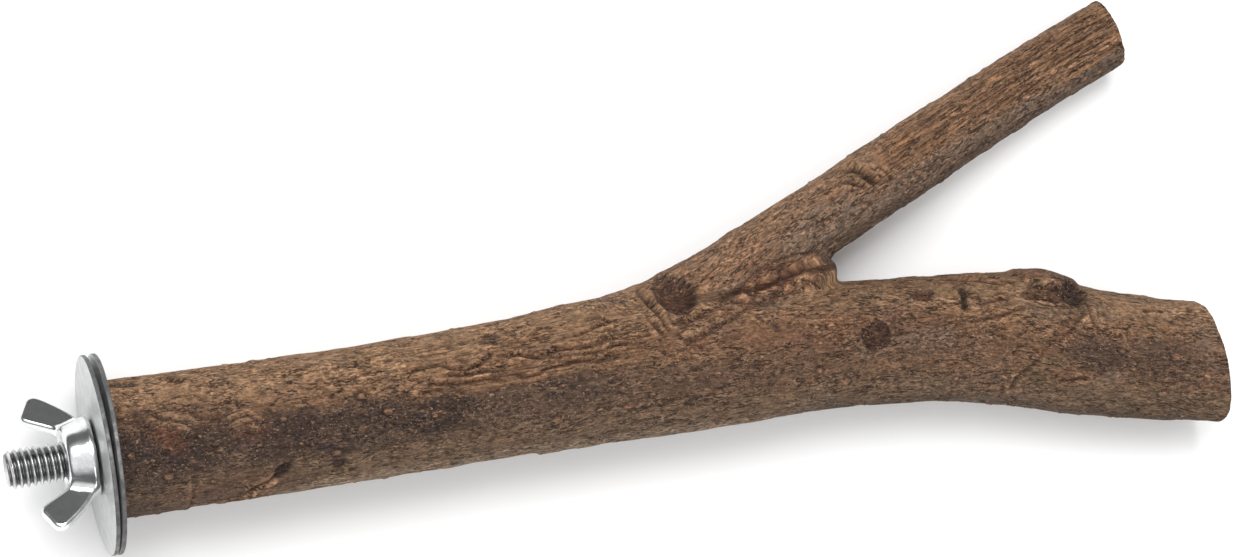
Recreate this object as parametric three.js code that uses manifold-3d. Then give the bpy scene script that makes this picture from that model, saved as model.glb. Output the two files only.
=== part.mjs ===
// A forked length of natural branch made into a bird perch.
// The thick end carries a threaded stud, two wide washers and a wing nut, which clamp it to cage bars.
// The perch lies on a surface: the washer rims, the leader's end and the side branch's tip touch it.
// Millimetres, +Z up. +X runs from the stud into the branch, and the fork spreads towards +Y.

import * as THREE from 'three';
import { mergeVertices } from 'three/addons/utils/BufferGeometryUtils.js';
import Module from 'manifold-3d';

const wasm = await Module();
wasm.setup();

// ---- Driving dimensions ----

// Hardware. The stud's axis runs along X at the height of a washer that stands on its rim.
const WASHER_RADIUS = 15;
const WASHER_HOLE_RADIUS = 3.2;
const WASHER_THICKNESS = 0.7;
const WASHER_SPACING = 1.235;
const AXIS_HEIGHT = WASHER_RADIUS;

// The thick end is sawn a little off square, and the inner washer lies flat against it.
const BASE_LEAN = THREE.MathUtils.degToRad(-1.28);

const THREAD_MAJOR_RADIUS = 2.97;
const THREAD_MINOR_RADIUS = 2.39;
const THREAD_PITCH = 1;
const THREAD_CHAMFER = 0.7;
const STUD_REACH = 15.5;
const SCREW_MINOR_RADIUS = 2.1;
const SCREW_PITCH = 2.5;
const SCREW_DEPTH = 20;
const SCREW_POINT = 5;
const SCREW_TIP_RADIUS = 0.5;

const NUT_BASE_RADIUS = 6.1;
const NUT_TOP_RADIUS = 5;
const NUT_FOOT = 0.8;
const NUT_HEIGHT = 4.4;
const NUT_EDGE = 0.3;
const NUT_BORE_RADIUS = 3.12;
const NUT_TURN = THREE.MathUtils.degToRad(-35);
const WING_THICKNESS = 1.7;
const WING_EDGE = 0.3;
const WING_ROOT_RADIUS = 4;
const WING_INNER_TIP = [9.5, 8.1];
const WING_OUTER_TIP = [7.5, 12.1];
const WING_CORNER = 0.25;

// Clearances between pieces that touch in use.
const GAP = 0.25;
const NUT_GAP = 0.67;
const SCREW_CLEARANCE = 0.3;
const KERF = 0.3;

// Each limb is a round bar along a smooth curve: [x, y, z, radius] where its line or thickness changes.
const MAIN_LIMB = [
  [-4, 0.55, 15, 10.2],
  [25, 0.1, 14.7, 10.05],
  [50, -0.15, 14.1, 10.05],
  [73, 0, 13.4, 10.5],
  [96, -0.7, 12.5, 10.4],
  [119, -1.95, 11.4, 9.5],
  [131, -3.2, 10.9, 9.85],
  [142, -5.1, 10.6, 10.2],
  [152, -8.2, 10.3, 9.9],
  [163, -11.1, 9.9, 9.6],
  [179, -14.6, 9.1, 9.2],
];
const SIDE_LIMB = [
  [66, 0, 13.6, 8.8],
  [78, 2.8, 13, 8],
  [90, 7.4, 12.1, 6.4],
  [104, 13.4, 10.9, 5.8],
  [120, 20.1, 9.5, 5.7],
  [136, 27, 8.05, 5.55],
  [152, 33.75, 6.4, 5.4],
  [174, 42.3, 4.95, 5.3],
];
const MAIN_SIDES = 24;
const MAIN_STEPS = 56;
const SIDE_SIDES = 16;
const SIDE_STEPS = 30;
const BARK_LUMP = 0.012;

// The old twig stub that makes the second fork: centre, half lengths and heading.
const STUB_CENTRE = [148, 0.2, 12.5];
const STUB_SIZE = [7, 4.2, 5];
const STUB_HEADING = THREE.MathUtils.degToRad(-20);

// The bark-filled web in the crotch of the main fork.
const WEB_CENTRE = [108, 8.6, 11.5];
const WEB_SIZE = [8, 4.2, 6.5];
const WEB_HEADING = THREE.MathUtils.degToRad(15);

// The sawn ends: a point on each cut and the heading of its outward side.
const BASE_CUT = { point: [0, 0], heading: Math.PI + BASE_LEAN };
const LEADER_CUT = { point: [174.5, -13.7], heading: THREE.MathUtils.degToRad(3) };
const SIDE_CUT = { point: [168.3, 39.8], heading: THREE.MathUtils.degToRad(13) };

// Where the limbs part: along the bark ridge and the collars, seen from above.
const FORK_HEART = [86, 4.2];
const FORK_SEAMS = [
  { from: [80, 18], to: FORK_HEART },
  { from: FORK_HEART, to: [121, 11.3] },
  { from: FORK_HEART, to: [84.5, -16] },
  { from: [159, 6.5], to: [134, -17] },
];

// ---- Materials ----

function bark(colour) {
  return new THREE.MeshStandardMaterial({ color: colour, roughness: 0.9, metalness: 0 });
}

function metal(colour, roughness) {
  return new THREE.MeshStandardMaterial({ color: colour, roughness, metalness: 1 });
}

// ---- Solids ----

function toSolid(geometry) {
  const bare = geometry.clone();
  bare.deleteAttribute('normal');
  bare.deleteAttribute('uv');
  const merged = mergeVertices(bare, 1e-4);
  return new wasm.Manifold(new wasm.Mesh({
    numProp: 3,
    vertProperties: new Float32Array(merged.attributes.position.array),
    triVerts: new Uint32Array(merged.index.array),
  }));
}

function toGeometry(solid) {
  const mesh = solid.getMesh();
  const geometry = new THREE.BufferGeometry();
  geometry.setAttribute('position', new THREE.BufferAttribute(mesh.vertProperties, 3));
  geometry.setIndex(new THREE.BufferAttribute(mesh.triVerts, 1));
  return geometry;
}

// Moves every vertex of a closed unit cylinder to place(x, share, z), where share runs from 0 to 1 along it.
function bendCylinder(sides, steps, place) {
  const geometry = new THREE.CylinderGeometry(1, 1, 1, sides, steps);
  const position = geometry.attributes.position;
  for (let i = 0; i < position.count; i += 1) {
    const point = place(position.getX(i), position.getY(i) + 0.5, position.getZ(i));
    position.setXYZ(i, point.x, point.y, point.z);
  }
  return geometry;
}

// ---- Wood ----

// A limb swept along its stations, with a slow swelling round it as growing wood has.
function limb(stations, sides, steps) {
  const centres = stations.map(([x, y, z]) => new THREE.Vector3(x, y, z));
  const centreLine = new THREE.CatmullRomCurve3(centres);
  const radii = stations.map(([x, , , radius]) => new THREE.Vector3(x, radius, 0));
  const thickness = new THREE.CatmullRomCurve3(radii);
  const up = new THREE.Vector3(0, 0, 1);
  return bendCylinder(sides, steps, (x, share, z) => {
    const tangent = centreLine.getTangent(share);
    const across = new THREE.Vector3().crossVectors(up, tangent).normalize();
    const above = new THREE.Vector3().crossVectors(tangent, across);
    const lump = 1 + BARK_LUMP * Math.sin(3 * Math.atan2(z, x) + 40 * share);
    const radius = thickness.getPoint(share).y * lump;
    return centreLine.getPoint(share)
      .addScaledVector(across, x * radius)
      .addScaledVector(above, -z * radius);
  });
}

// A rounded swelling in the wood.
function swelling(centre, halfLengths, heading) {
  const geometry = new THREE.SphereGeometry(1, 16, 10);
  geometry.scale(...halfLengths);
  geometry.rotateZ(heading);
  geometry.translate(...centre);
  return geometry;
}

// A block that takes away everything beyond a sawn end.
function endBlock({ point, heading }) {
  const size = 60;
  const geometry = new THREE.BoxGeometry(size, size, size);
  geometry.translate(size / 2, 0, 0);
  geometry.rotateZ(heading);
  geometry.translate(point[0], point[1], 0);
  return geometry;
}

// A thin upright slab along a seam, a kerf wide.
function seamSlab({ from, to }) {
  const run = new THREE.Vector2(to[0] - from[0], to[1] - from[1]);
  const geometry = new THREE.BoxGeometry(run.length() + KERF, KERF, 60);
  geometry.rotateZ(run.angle());
  geometry.translate((from[0] + to[0]) / 2, (from[1] + to[1]) / 2, 0);
  return geometry;
}

function screwHole() {
  const radius = THREAD_MAJOR_RADIUS + SCREW_CLEARANCE;
  const depth = SCREW_DEPTH + SCREW_CLEARANCE;
  const geometry = new THREE.CylinderGeometry(radius, radius, 2 * depth, 16);
  geometry.rotateZ(Math.PI / 2);
  geometry.translate(0, 0, AXIS_HEIGHT);
  return geometry;
}

// The whole branch in one piece, then parted at its seams, listed from the stud outwards.
function woodPieces() {
  let wood = toSolid(limb(MAIN_LIMB, MAIN_SIDES, MAIN_STEPS))
    .add(toSolid(limb(SIDE_LIMB, SIDE_SIDES, SIDE_STEPS)))
    .add(toSolid(swelling(STUB_CENTRE, STUB_SIZE, STUB_HEADING)))
    .add(toSolid(swelling(WEB_CENTRE, WEB_SIZE, WEB_HEADING)))
    .subtract(toSolid(screwHole()));
  for (const cut of [BASE_CUT, LEADER_CUT, SIDE_CUT]) {
    wood = wood.subtract(toSolid(endBlock(cut)));
  }
  for (const seam of FORK_SEAMS) {
    wood = wood.subtract(toSolid(seamSlab(seam)));
  }
  const pieces = wood.decompose();
  pieces.sort((a, b) => a.boundingBox().min[0] - b.boundingBox().min[0]);
  return pieces.map(toGeometry);
}

// ---- Hardware ----

// Thread height from 0 at the root to 1 at the crest, for a right-hand helix about +X.
function threadHeight(along, angle, pitch) {
  const turns = along / pitch - angle / (2 * Math.PI);
  const phase = turns - Math.floor(turns);
  const slope = 2.6 * Math.abs(phase - 0.5) - 0.15;
  return Math.min(1, Math.max(0, slope));
}

function hangerBolt() {
  const sides = 12;
  const ringsPerTurn = 4;
  const machineRings = ringsPerTurn * STUD_REACH / THREAD_PITCH;
  const screwRings = ringsPerTurn * SCREW_DEPTH / SCREW_PITCH;
  const geometry = bendCylinder(sides, machineRings + screwRings, (x, share, z) => {
    const ring = share * (machineRings + screwRings) - machineRings;
    const inWood = ring > 0;
    const along = ring / ringsPerTurn * (inWood ? SCREW_PITCH : THREAD_PITCH);
    const angle = Math.atan2(-z, x);
    const pitch = inWood ? SCREW_PITCH : THREAD_PITCH;
    const root = inWood ? SCREW_MINOR_RADIUS : THREAD_MINOR_RADIUS;
    const crest = THREAD_MAJOR_RADIUS;
    const threaded = root + (crest - root) * threadHeight(along, angle, pitch);
    const chamfer = crest - THREAD_CHAMFER + (along + STUD_REACH);
    const toTip = (SCREW_DEPTH - along) / SCREW_POINT;
    const point = SCREW_TIP_RADIUS + (crest - SCREW_TIP_RADIUS) * toTip;
    const radius = Math.min(threaded, chamfer, point);
    return new THREE.Vector3(along, x * radius, -z * radius);
  });
  geometry.translate(0, 0, AXIS_HEIGHT);
  return geometry;
}

function washer() {
  const half = WASHER_THICKNESS / 2;
  const profile = [
    new THREE.Vector2(WASHER_HOLE_RADIUS, -half),
    new THREE.Vector2(WASHER_RADIUS, -half),
    new THREE.Vector2(WASHER_RADIUS, half),
    new THREE.Vector2(WASHER_HOLE_RADIUS, half),
    new THREE.Vector2(WASHER_HOLE_RADIUS, -half),
  ];
  const geometry = new THREE.LatheGeometry(profile, 48);
  geometry.rotateZ(Math.PI / 2);
  return geometry;
}

function wingShape() {
  const shape = new THREE.Shape();
  const [innerAlong, innerOut] = WING_INNER_TIP;
  const [outerAlong, outerOut] = WING_OUTER_TIP;
  const tipAlong = (outerAlong - innerAlong) * WING_CORNER;
  const tipOut = (outerOut - innerOut) * WING_CORNER;
  shape.moveTo(0.4, WING_ROOT_RADIUS);
  shape.lineTo(0.4, NUT_BASE_RADIUS - 0.4);
  shape.quadraticCurveTo(2.6, NUT_BASE_RADIUS + 3, outerAlong - 1.4, outerOut - 0.6);
  shape.quadraticCurveTo(outerAlong - 0.2, outerOut, outerAlong - tipAlong, outerOut - tipOut);
  shape.lineTo(innerAlong + tipAlong, innerOut + tipOut);
  shape.quadraticCurveTo(innerAlong + 0.2, innerOut, innerAlong - 1, innerOut - 0.7);
  shape.lineTo(NUT_HEIGHT - 0.4, NUT_TOP_RADIUS - 0.1);
  shape.lineTo(NUT_HEIGHT - 0.4, WING_ROOT_RADIUS);
  shape.closePath();
  return shape;
}

// One wing, standing out along +Y, with the nut's base at x = 0 and its top towards -X.
function wing() {
  const geometry = new THREE.ExtrudeGeometry(wingShape(), {
    depth: WING_THICKNESS - 2 * WING_EDGE,
    curveSegments: 4,
    bevelEnabled: true,
    bevelThickness: WING_EDGE,
    bevelSize: WING_EDGE,
    bevelOffset: -WING_EDGE,
    bevelSegments: 1,
  });
  geometry.translate(0, 0, WING_EDGE - WING_THICKNESS / 2);
  geometry.rotateY(Math.PI);
  return geometry;
}

function nutHub() {
  const profile = [
    new THREE.Vector2(NUT_BORE_RADIUS, 0),
    new THREE.Vector2(NUT_BASE_RADIUS, 0),
    new THREE.Vector2(NUT_BASE_RADIUS, NUT_FOOT),
    new THREE.Vector2(NUT_TOP_RADIUS, NUT_HEIGHT - NUT_EDGE),
    new THREE.Vector2(NUT_TOP_RADIUS - NUT_EDGE, NUT_HEIGHT),
    new THREE.Vector2(NUT_BORE_RADIUS, NUT_HEIGHT),
    new THREE.Vector2(NUT_BORE_RADIUS, 0),
  ];
  const geometry = new THREE.LatheGeometry(profile, 32);
  geometry.rotateZ(Math.PI / 2);
  return geometry;
}

function wingNut() {
  let nut = toSolid(nutHub());
  for (const turn of [0, Math.PI]) {
    nut = nut.add(toSolid(wing().rotateX(turn)));
  }
  return toGeometry(nut);
}

// ---- Assembly ----

const perch = new THREE.Group();

function addPiece(name, geometry, material) {
  const mesh = new THREE.Mesh(geometry, material);
  mesh.name = name;
  perch.add(mesh);
  return mesh;
}

const [stem, sideBranch, leader, leaderEnd] = woodPieces();
addPiece('stem', stem, bark('#6f5644'));
addPiece('side_branch', sideBranch, bark('#85705f'));
addPiece('leader', leader, bark('#75604d'));
addPiece('leader_end', leaderEnd, bark('#6a5545'));
addPiece('hanger_bolt', hangerBolt(), metal('#c4c6c8', 0.3));

const innerWasher = addPiece('inner_washer', washer(), metal('#b9bcbd', 0.35));
const innerMiddle = -GAP - WASHER_THICKNESS / 2;
innerWasher.position.set(innerMiddle, 0, AXIS_HEIGHT);
innerWasher.rotation.z = BASE_LEAN;

const outerWasher = addPiece('outer_washer', washer(), metal('#c3c6c7', 0.35));
outerWasher.position.set(innerMiddle - WASHER_SPACING, 0, AXIS_HEIGHT);

const wingNutMesh = addPiece('wing_nut', wingNut(), metal('#d4d6d8', 0.12));
wingNutMesh.position.set(innerMiddle - WASHER_SPACING - NUT_GAP, 0, AXIS_HEIGHT);
wingNutMesh.rotation.x = NUT_TURN;

// The origin is the middle of the box that holds the perch, on the surface it lies on.
const extent = new THREE.Box3().setFromObject(perch);
const middle = extent.getCenter(new THREE.Vector3());
perch.position.set(-middle.x, -middle.y, -extent.min.z);

export default perch;
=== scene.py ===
import bpy
import bmesh
import numpy as np
import openvdb
from mathutils import Matrix, Vector


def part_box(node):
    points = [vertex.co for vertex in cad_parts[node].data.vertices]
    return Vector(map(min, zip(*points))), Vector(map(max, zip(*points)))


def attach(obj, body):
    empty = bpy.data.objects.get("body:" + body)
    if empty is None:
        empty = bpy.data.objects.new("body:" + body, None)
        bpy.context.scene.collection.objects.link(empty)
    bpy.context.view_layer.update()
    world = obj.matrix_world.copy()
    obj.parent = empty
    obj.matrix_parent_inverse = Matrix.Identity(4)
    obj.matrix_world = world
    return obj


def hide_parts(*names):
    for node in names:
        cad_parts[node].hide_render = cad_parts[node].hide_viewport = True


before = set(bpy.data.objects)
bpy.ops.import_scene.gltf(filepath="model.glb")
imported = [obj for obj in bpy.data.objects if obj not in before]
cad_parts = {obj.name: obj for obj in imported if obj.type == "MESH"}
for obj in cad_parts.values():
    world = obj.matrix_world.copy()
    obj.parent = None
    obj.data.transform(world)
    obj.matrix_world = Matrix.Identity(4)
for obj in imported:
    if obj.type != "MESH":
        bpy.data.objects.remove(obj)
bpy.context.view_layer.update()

# A forked branch bird perch. Shapes are worked out in millimetres from the middle of the sawn
# face that the stud comes out of, at floor level, with +X along the stud's axis into the branch.

MM = 0.001
STUD_REACH = 15.5
AXIS_HEIGHT = 15.0
WASHER_LOW, WASHER_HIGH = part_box("outer_washer")
BOLT_LOW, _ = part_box("hanger_bolt")
HOME = Vector((BOLT_LOW[0] + STUD_REACH * MM, (WASHER_LOW[1] + WASHER_HIGH[1]) / 2, 0))


# ---- Helpers ----

def metres(points):
    """Turns millimetres from the sawn face into metres in the row's frame."""
    return np.asarray(points) * MM + np.array(HOME)


def mesh_object(name, points, face_sets):
    """A smooth mesh from points in millimetres and sets of quads or triangles."""
    mesh = bpy.data.meshes.new(name)
    mesh.vertices.add(len(points))
    mesh.vertices.foreach_set("co", metres(points).astype(np.float32).ravel())
    corners = np.concatenate([faces.ravel() for faces in face_sets]).astype(np.int32)
    sizes = np.concatenate([np.full(len(faces), faces.shape[1]) for faces in face_sets])
    starts = np.cumsum(sizes) - sizes
    mesh.loops.add(len(corners))
    mesh.loops.foreach_set("vertex_index", corners)
    mesh.polygons.add(len(sizes))
    mesh.polygons.foreach_set("loop_start", starts.astype(np.int32))
    mesh.polygons.foreach_set("loop_total", sizes.astype(np.int32))
    mesh.update(calc_edges=True)
    mesh.polygons.foreach_set("use_smooth", np.ones(len(sizes), bool))
    piece = bpy.data.objects.new(name, mesh)
    bpy.context.scene.collection.objects.link(piece)
    return piece


def ease(low, high, value):
    """0 at the low value and 1 at the high one, eased at both ends. Low may be the larger."""
    share = np.clip((value - low) / (high - low), 0, 1)
    return share * share * (3 - 2 * share)


def mix(a, b, share):
    return a + (b - a) * share


def bell(value, middle, width):
    """1 where the value is at the middle, fading out over about that width to both sides."""
    return np.exp(-(((value - middle) / width) ** 2))


def smooth_min(a, b, width):
    """The lower of two distances, rounded over where they are within width of each other."""
    share = np.clip(0.5 + 0.5 * (b - a) / width, 0, 1)
    return mix(b, a, share) - width * share * (1 - share)


# ---- Noise ----

def lattice(cells, seed):
    """A random number from -1 to 1 for each whole-numbered cell."""
    mixed = cells[:, 0] * 73856093 ^ cells[:, 1] * 19349663 ^ cells[:, 2] * 83492791
    mixed = (mixed ^ seed * 668265263) & 0xFFFFFFFF
    mixed = ((mixed ^ mixed >> 15) * 2246822519) & 0xFFFFFFFF
    mixed = ((mixed ^ mixed >> 13) * 3266489917) & 0xFFFFFFFF
    return ((mixed ^ mixed >> 16) & 0xFFFF) / 32767.5 - 1


def noise(points, seed=0):
    """Smooth value noise from -1 to 1."""
    cell = np.floor(points).astype(np.int64)
    part = points - cell
    part = part * part * part * (part * (part * 6 - 15) + 10)
    total = 0
    for corner in range(8):
        step = np.array([corner & 1, corner >> 1 & 1, corner >> 2 & 1])
        weight = np.prod(np.where(step, part, 1 - part), axis=1)
        total = total + weight * lattice(cell + step, seed)
    return total


def layered(points, octaves, seed=0, gain=0.5):
    """Several octaves of noise, kept within about -1 to 1."""
    total, size, reach = 0, 1.0, 0.0
    for octave in range(octaves):
        total = total + size * noise(points * 2 ** octave + 17.3 * octave, seed + octave)
        reach += size
        size *= gain
    return total / reach


def spots(along, around, girth, length, width, seed, keep=1.0):
    """Distance to the nearest of many scattered spots, in spot sizes, and that spot's random number.
    The pattern closes on itself round a limb of that girth."""
    columns = max(1, int(round(girth / width)))
    column_width = girth / columns
    row = np.floor(along / length).astype(np.int64)
    column = np.floor(around / column_width).astype(np.int64)
    best = np.full(len(along), 9.0)
    number = np.zeros(len(along))
    zero = np.zeros_like(row)
    for row_step in (-1, 0, 1):
        for column_step in (-1, 0, 1):
            here = np.stack([row + row_step, (column + column_step) % columns, zero], axis=1)
            middle_row = row + row_step + 0.5 + 0.4 * lattice(here, seed)
            middle_column = column + column_step + 0.5 + 0.4 * lattice(here, seed + 1)
            chance = lattice(here, seed + 2) * 0.5 + 0.5
            gap = np.hypot(along / length - middle_row, around / column_width - middle_column)
            gap = np.where(chance < keep, gap, 9.0)
            nearer = gap < best
            best = np.where(nearer, gap, best)
            number = np.where(nearer, lattice(here, seed + 3), number)
    return best, number


# ---- The branch's shape ----

# The x, y, z and radius where a limb's line or thickness changes, as in the CAD model.
MAIN_STATIONS = [
    (-4, 0.55, 15, 10.2),
    (25, 0.1, 14.7, 10.05),
    (50, -0.15, 14.1, 10.05),
    (73, 0, 13.4, 10.5),
    (96, -0.7, 12.5, 10.4),
    (119, -1.95, 11.4, 9.5),
    (131, -3.2, 10.9, 9.85),
    (142, -5.1, 10.6, 10.2),
    (152, -8.2, 10.3, 9.9),
    (163, -11.1, 9.9, 9.6),
    (179, -14.6, 9.1, 9.2),
]
SIDE_STATIONS = [
    (66, 0, 13.6, 8.8),
    (78, 2.8, 13, 8),
    (90, 7.4, 12.1, 6.4),
    (104, 13.4, 10.9, 5.8),
    (120, 20.1, 9.5, 5.7),
    (136, 27, 8.05, 5.55),
    (152, 33.75, 6.4, 5.4),
    (174, 42.3, 4.95, 5.3),
]
# The old twig's stub on the leader, and the web of wood in the crotch.
STUB = {"centre": (148, 0.2, 12.5), "size": (7, 4.2, 5), "heading": np.radians(-20)}
WEB = {"centre": (108, 8.2, 11.5), "size": (8, 4.0, 6.5), "heading": np.radians(15)}

FORK_HEART = (86, 4.2)
# The seams between the wood pieces, as lines seen from above.
BRANCH_SEAM = ((80, 18), FORK_HEART)
RIDGE_SEAM = (FORK_HEART, (121, 11.3))
HEART_SEAM = ((84.5, -16), FORK_HEART)
COLLAR_SEAM = ((134, -17), (159, 6.5))
BASE_LEAN = np.radians(-1.28)
# A point on each sawn face, and the way that the face looks.
CUTS = {
    "base": ((0, 0), np.pi + BASE_LEAN),
    "leader": ((174.5, -13.7), np.radians(3)),
    "side": ((168.3, 39.8), np.radians(13)),
}
CUT_REACH = 22
# Where the crotch and the fork's own marks come in, along x, and how high the marks begin.
CROTCH_BEGINS = (100, 112)
FORK_START, FORK_END = 70, 122
FORK_MARKS_BEGIN, FORK_MARKS_RISE = (76, 79), (11, 15)
# How wide the rounding is between the limbs, behind the fork and in its crotch, and at the web and
# the stub.
HEART_BLEND, CROTCH_BLEND, WEB_BLEND, STUB_BLEND = 3.0, 1.0, 1.2, 2.0
WOOD_VOXEL = 0.3
WOOD_LOW, WOOD_HIGH = (-3, -26, -1.5), (178, 48, 28)


def curve_through(xs, values, at):
    """A smooth curve through the stations, with no kinks at them."""
    xs, values = np.asarray(xs, float), np.asarray(values, float)
    steps = np.diff(xs)
    slopes = np.diff(values) / steps
    middle = (slopes[:-1] * steps[1:] + slopes[1:] * steps[:-1]) / (steps[1:] + steps[:-1])
    tangents = np.concatenate([slopes[:1], middle, slopes[-1:]])
    span = np.clip(np.searchsorted(xs, at) - 1, 0, len(steps) - 1)
    t = (at - xs[span]) / steps[span]
    start, end = values[span], values[span + 1]
    pull_start, pull_end = tangents[span] * steps[span], tangents[span + 1] * steps[span]
    return ((2 * t**3 - 3 * t**2 + 1) * start + (t**3 - 2 * t**2 + t) * pull_start
            + (3 * t**2 - 2 * t**3) * end + (t**3 - t**2) * pull_end)


class Limb:
    """A round limb along a smooth line that always runs towards +X."""

    def __init__(self, stations):
        table = np.array(stations, float)
        self.x = np.arange(table[0, 0], table[-1, 0], 0.25)
        self.y, self.z, self.radius = (curve_through(table[:, 0], table[:, k], self.x) for k in (1, 2, 3))
        self.heading = np.arctan(np.gradient(self.y, self.x))
        self.pitch = np.arctan(np.gradient(self.z, self.x))

    def locate(self, points):
        """The x of the nearest point on the line, the offset to its +Y side and above it, and the radius."""
        x = points[:, 0]
        for _ in range(2):
            heading = np.interp(x, self.x, self.heading)
            pitch = np.interp(x, self.x, self.pitch)
            dy = points[:, 1] - np.interp(x, self.x, self.y)
            dz = points[:, 2] - np.interp(x, self.x, self.z)
            ahead = (points[:, 0] - x) + dy * np.tan(heading) + dz * np.tan(pitch)
            x = np.clip(x + ahead * np.cos(heading) ** 2, self.x[0], self.x[-1])
        dx = points[:, 0] - x
        dy = points[:, 1] - np.interp(x, self.x, self.y)
        dz = points[:, 2] - np.interp(x, self.x, self.z)
        side = dy * np.cos(heading) - dx * np.sin(heading)
        above = dz * np.cos(pitch) - dx * np.sin(pitch)
        return x, side, above, np.interp(x, self.x, self.radius)


MAIN = Limb(MAIN_STATIONS)
SIDE = Limb(SIDE_STATIONS)


def swelling(points, centre, size, heading):
    """Rough distance to a turned ellipsoid."""
    offset = points - np.array(centre)
    ahead = offset[:, 0] * np.cos(heading) + offset[:, 1] * np.sin(heading)
    across = offset[:, 1] * np.cos(heading) - offset[:, 0] * np.sin(heading)
    scaled = np.stack([ahead / size[0], across / size[1], offset[:, 2] / size[2]], axis=1)
    return (np.linalg.norm(scaled, axis=1) - 1) * min(size)


def limb_distances(points):
    _, side, above, radius = MAIN.locate(points)
    main = np.hypot(side, above) - radius
    _, side, above, radius = SIDE.locate(points)
    branch = np.hypot(side, above) - radius
    beyond = points[:, 0] - SIDE.x[0]
    branch = np.where(beyond < 0, np.maximum(branch, -beyond), branch)
    return main, branch


def branch_distance(points):
    """Distance outside the smooth, barkless shape of the whole branch."""
    main, branch = limb_distances(points)
    crotch_side = ease(*CROTCH_BEGINS, points[:, 0])
    whole = smooth_min(main, branch, mix(HEART_BLEND, CROTCH_BLEND, crotch_side))
    whole = smooth_min(whole, swelling(points, **WEB), WEB_BLEND)
    return smooth_min(whole, swelling(points, **STUB), STUB_BLEND)


def gradient(distance, points, step=0.02):
    slopes = []
    for axis in range(3):
        shift = np.zeros(3)
        shift[axis] = step
        slopes.append(distance(points + shift) - distance(points - shift))
    slopes = np.stack(slopes, axis=1)
    return slopes / np.maximum(np.linalg.norm(slopes, axis=1, keepdims=True), 1e-9)


def surface_of(distance, low, high, voxel, rounds=3):
    """Outward quads where a distance is zero, with every point moved onto the surface itself, and
    the way out of the surface at each point."""
    low = np.array(low, float)
    counts = np.ceil((np.array(high) - low) / voxel).astype(int) + 1
    ys = low[1] + voxel * np.arange(counts[1])
    zs = low[2] + voxel * np.arange(counts[2])
    sheet_y, sheet_z = (axis.ravel() for axis in np.meshgrid(ys, zs, indexing="ij"))
    field = np.empty(counts, np.float32)
    for index in range(counts[0]):
        x = np.full(len(sheet_y), low[0] + voxel * index)
        values = distance(np.stack([x, sheet_y, sheet_z], axis=1))
        field[index] = values.reshape(counts[1], counts[2])
    grid = openvdb.FloatGrid(3 * voxel)
    grid.copyFromArray(np.clip(field, -3 * voxel, 3 * voxel), tolerance=0)
    grid.transform = openvdb.createLinearTransform(voxel)
    points, quads = grid.convertToQuads()
    points = points.astype(float) + low
    for _ in range(rounds):
        push = np.clip(distance(points), -voxel, voxel)
        points -= push[:, None] * gradient(distance, points)
    quads = quads.astype(np.int64)
    outward = gradient(distance, points)
    if np.einsum("ij,ij->i", point_normals(points, quads), outward).mean() < 0:
        quads = quads[:, ::-1]
    return points, quads, outward


# ---- Bark ----

MAIN_GIRTH_RADIUS = 10.0
SIDE_GIRTH_RADIUS = 5.6
SIDE_STRETCH = 1.09
BARK_DEPTH = 0.78
BARK_WARMTH = np.array([1.06, 1.0, 0.94])


def srgb(red, green, blue):
    """A linear colour from the usual 0 to 255 values."""
    share = np.array([red, green, blue]) / 255
    return np.where(share <= 0.04045, share / 12.92, ((share + 0.055) / 1.055) ** 2.4)


TAN = srgb(158, 127, 99)
WARM = srgb(130, 100, 77)
MIDDLE = srgb(92, 75, 64)
OLIVE = srgb(103, 86, 70)
# Painted rim light: the lighter colour painted along the stem's lower rim.
PAINTED_RIM_LIGHT = srgb(150, 131, 111)
PALE_OLIVE = srgb(118, 98, 80)
DARK = srgb(58, 48, 46)
REDDISH = srgb(112, 76, 60)
SCAR = srgb(84, 60, 49)
PALE = srgb(176, 142, 113)
GREYED = srgb(122, 106, 94)
RUST = srgb(84, 58, 46)
HOLLOW = srgb(84, 58, 48)
BUD_SHADOW = srgb(46, 32, 28)
WRINKLE = srgb(80, 48, 38)


class Skin:
    """Where the bark's points lie on one limb: along it, and round it from the top towards -Y."""

    def __init__(self, limb, points, girth_radius, stretch=1.0):
        self.x, side, above, _ = limb.locate(points)
        self.angle = np.arctan2(-side, above)
        self.around = self.angle * girth_radius
        self.girth = 2 * np.pi * girth_radius
        self.straight = np.stack([self.x * stretch, np.sin(self.angle) * girth_radius,
                                  np.cos(self.angle) * girth_radius], axis=1)

    def grain(self, along, across, octaves=2, seed=0):
        """Noise whose marks are about that long and that wide."""
        return layered(self.straight / np.array([along, across, across]), octaves, seed)

    def specks(self, along, across, seed, keep):
        around = self.around + self.girth / 2
        return spots(self.straight[:, 0], around, self.girth, along, across, seed, keep)


def path_distance(x, around, path):
    """Distance to a line through a few points, and the share of the way along it."""
    path = np.array(path, float)
    runs = np.linalg.norm(np.diff(path, axis=0), axis=1)
    total, before = runs.sum(), 0.0
    best = np.full(len(x), 99.0)
    share = np.zeros(len(x))
    for (x0, v0), (x1, v1), run in zip(path[:-1], path[1:], runs):
        t = np.clip(((x - x0) * (x1 - x0) + (around - v0) * (v1 - v0)) / run**2, 0, 1)
        gap = np.hypot(x - x0 - t * (x1 - x0), around - v0 - t * (v1 - v0))
        nearer = gap < best
        best = np.where(nearer, gap, best)
        share = np.where(nearer, (before + t * run) / total, share)
        before += run
    return best, share


def oval_distance(x, around, centre, half_long, half_wide, turn=0.0):
    """0 at an oval's middle and 1 on its edge."""
    turn = np.radians(turn)
    dx, dv = x - centre[0], around - centre[1]
    along = dx * np.cos(turn) + dv * np.sin(turn)
    across = dv * np.cos(turn) - dx * np.sin(turn)
    return np.hypot(along / half_long, across / half_wide)


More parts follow.
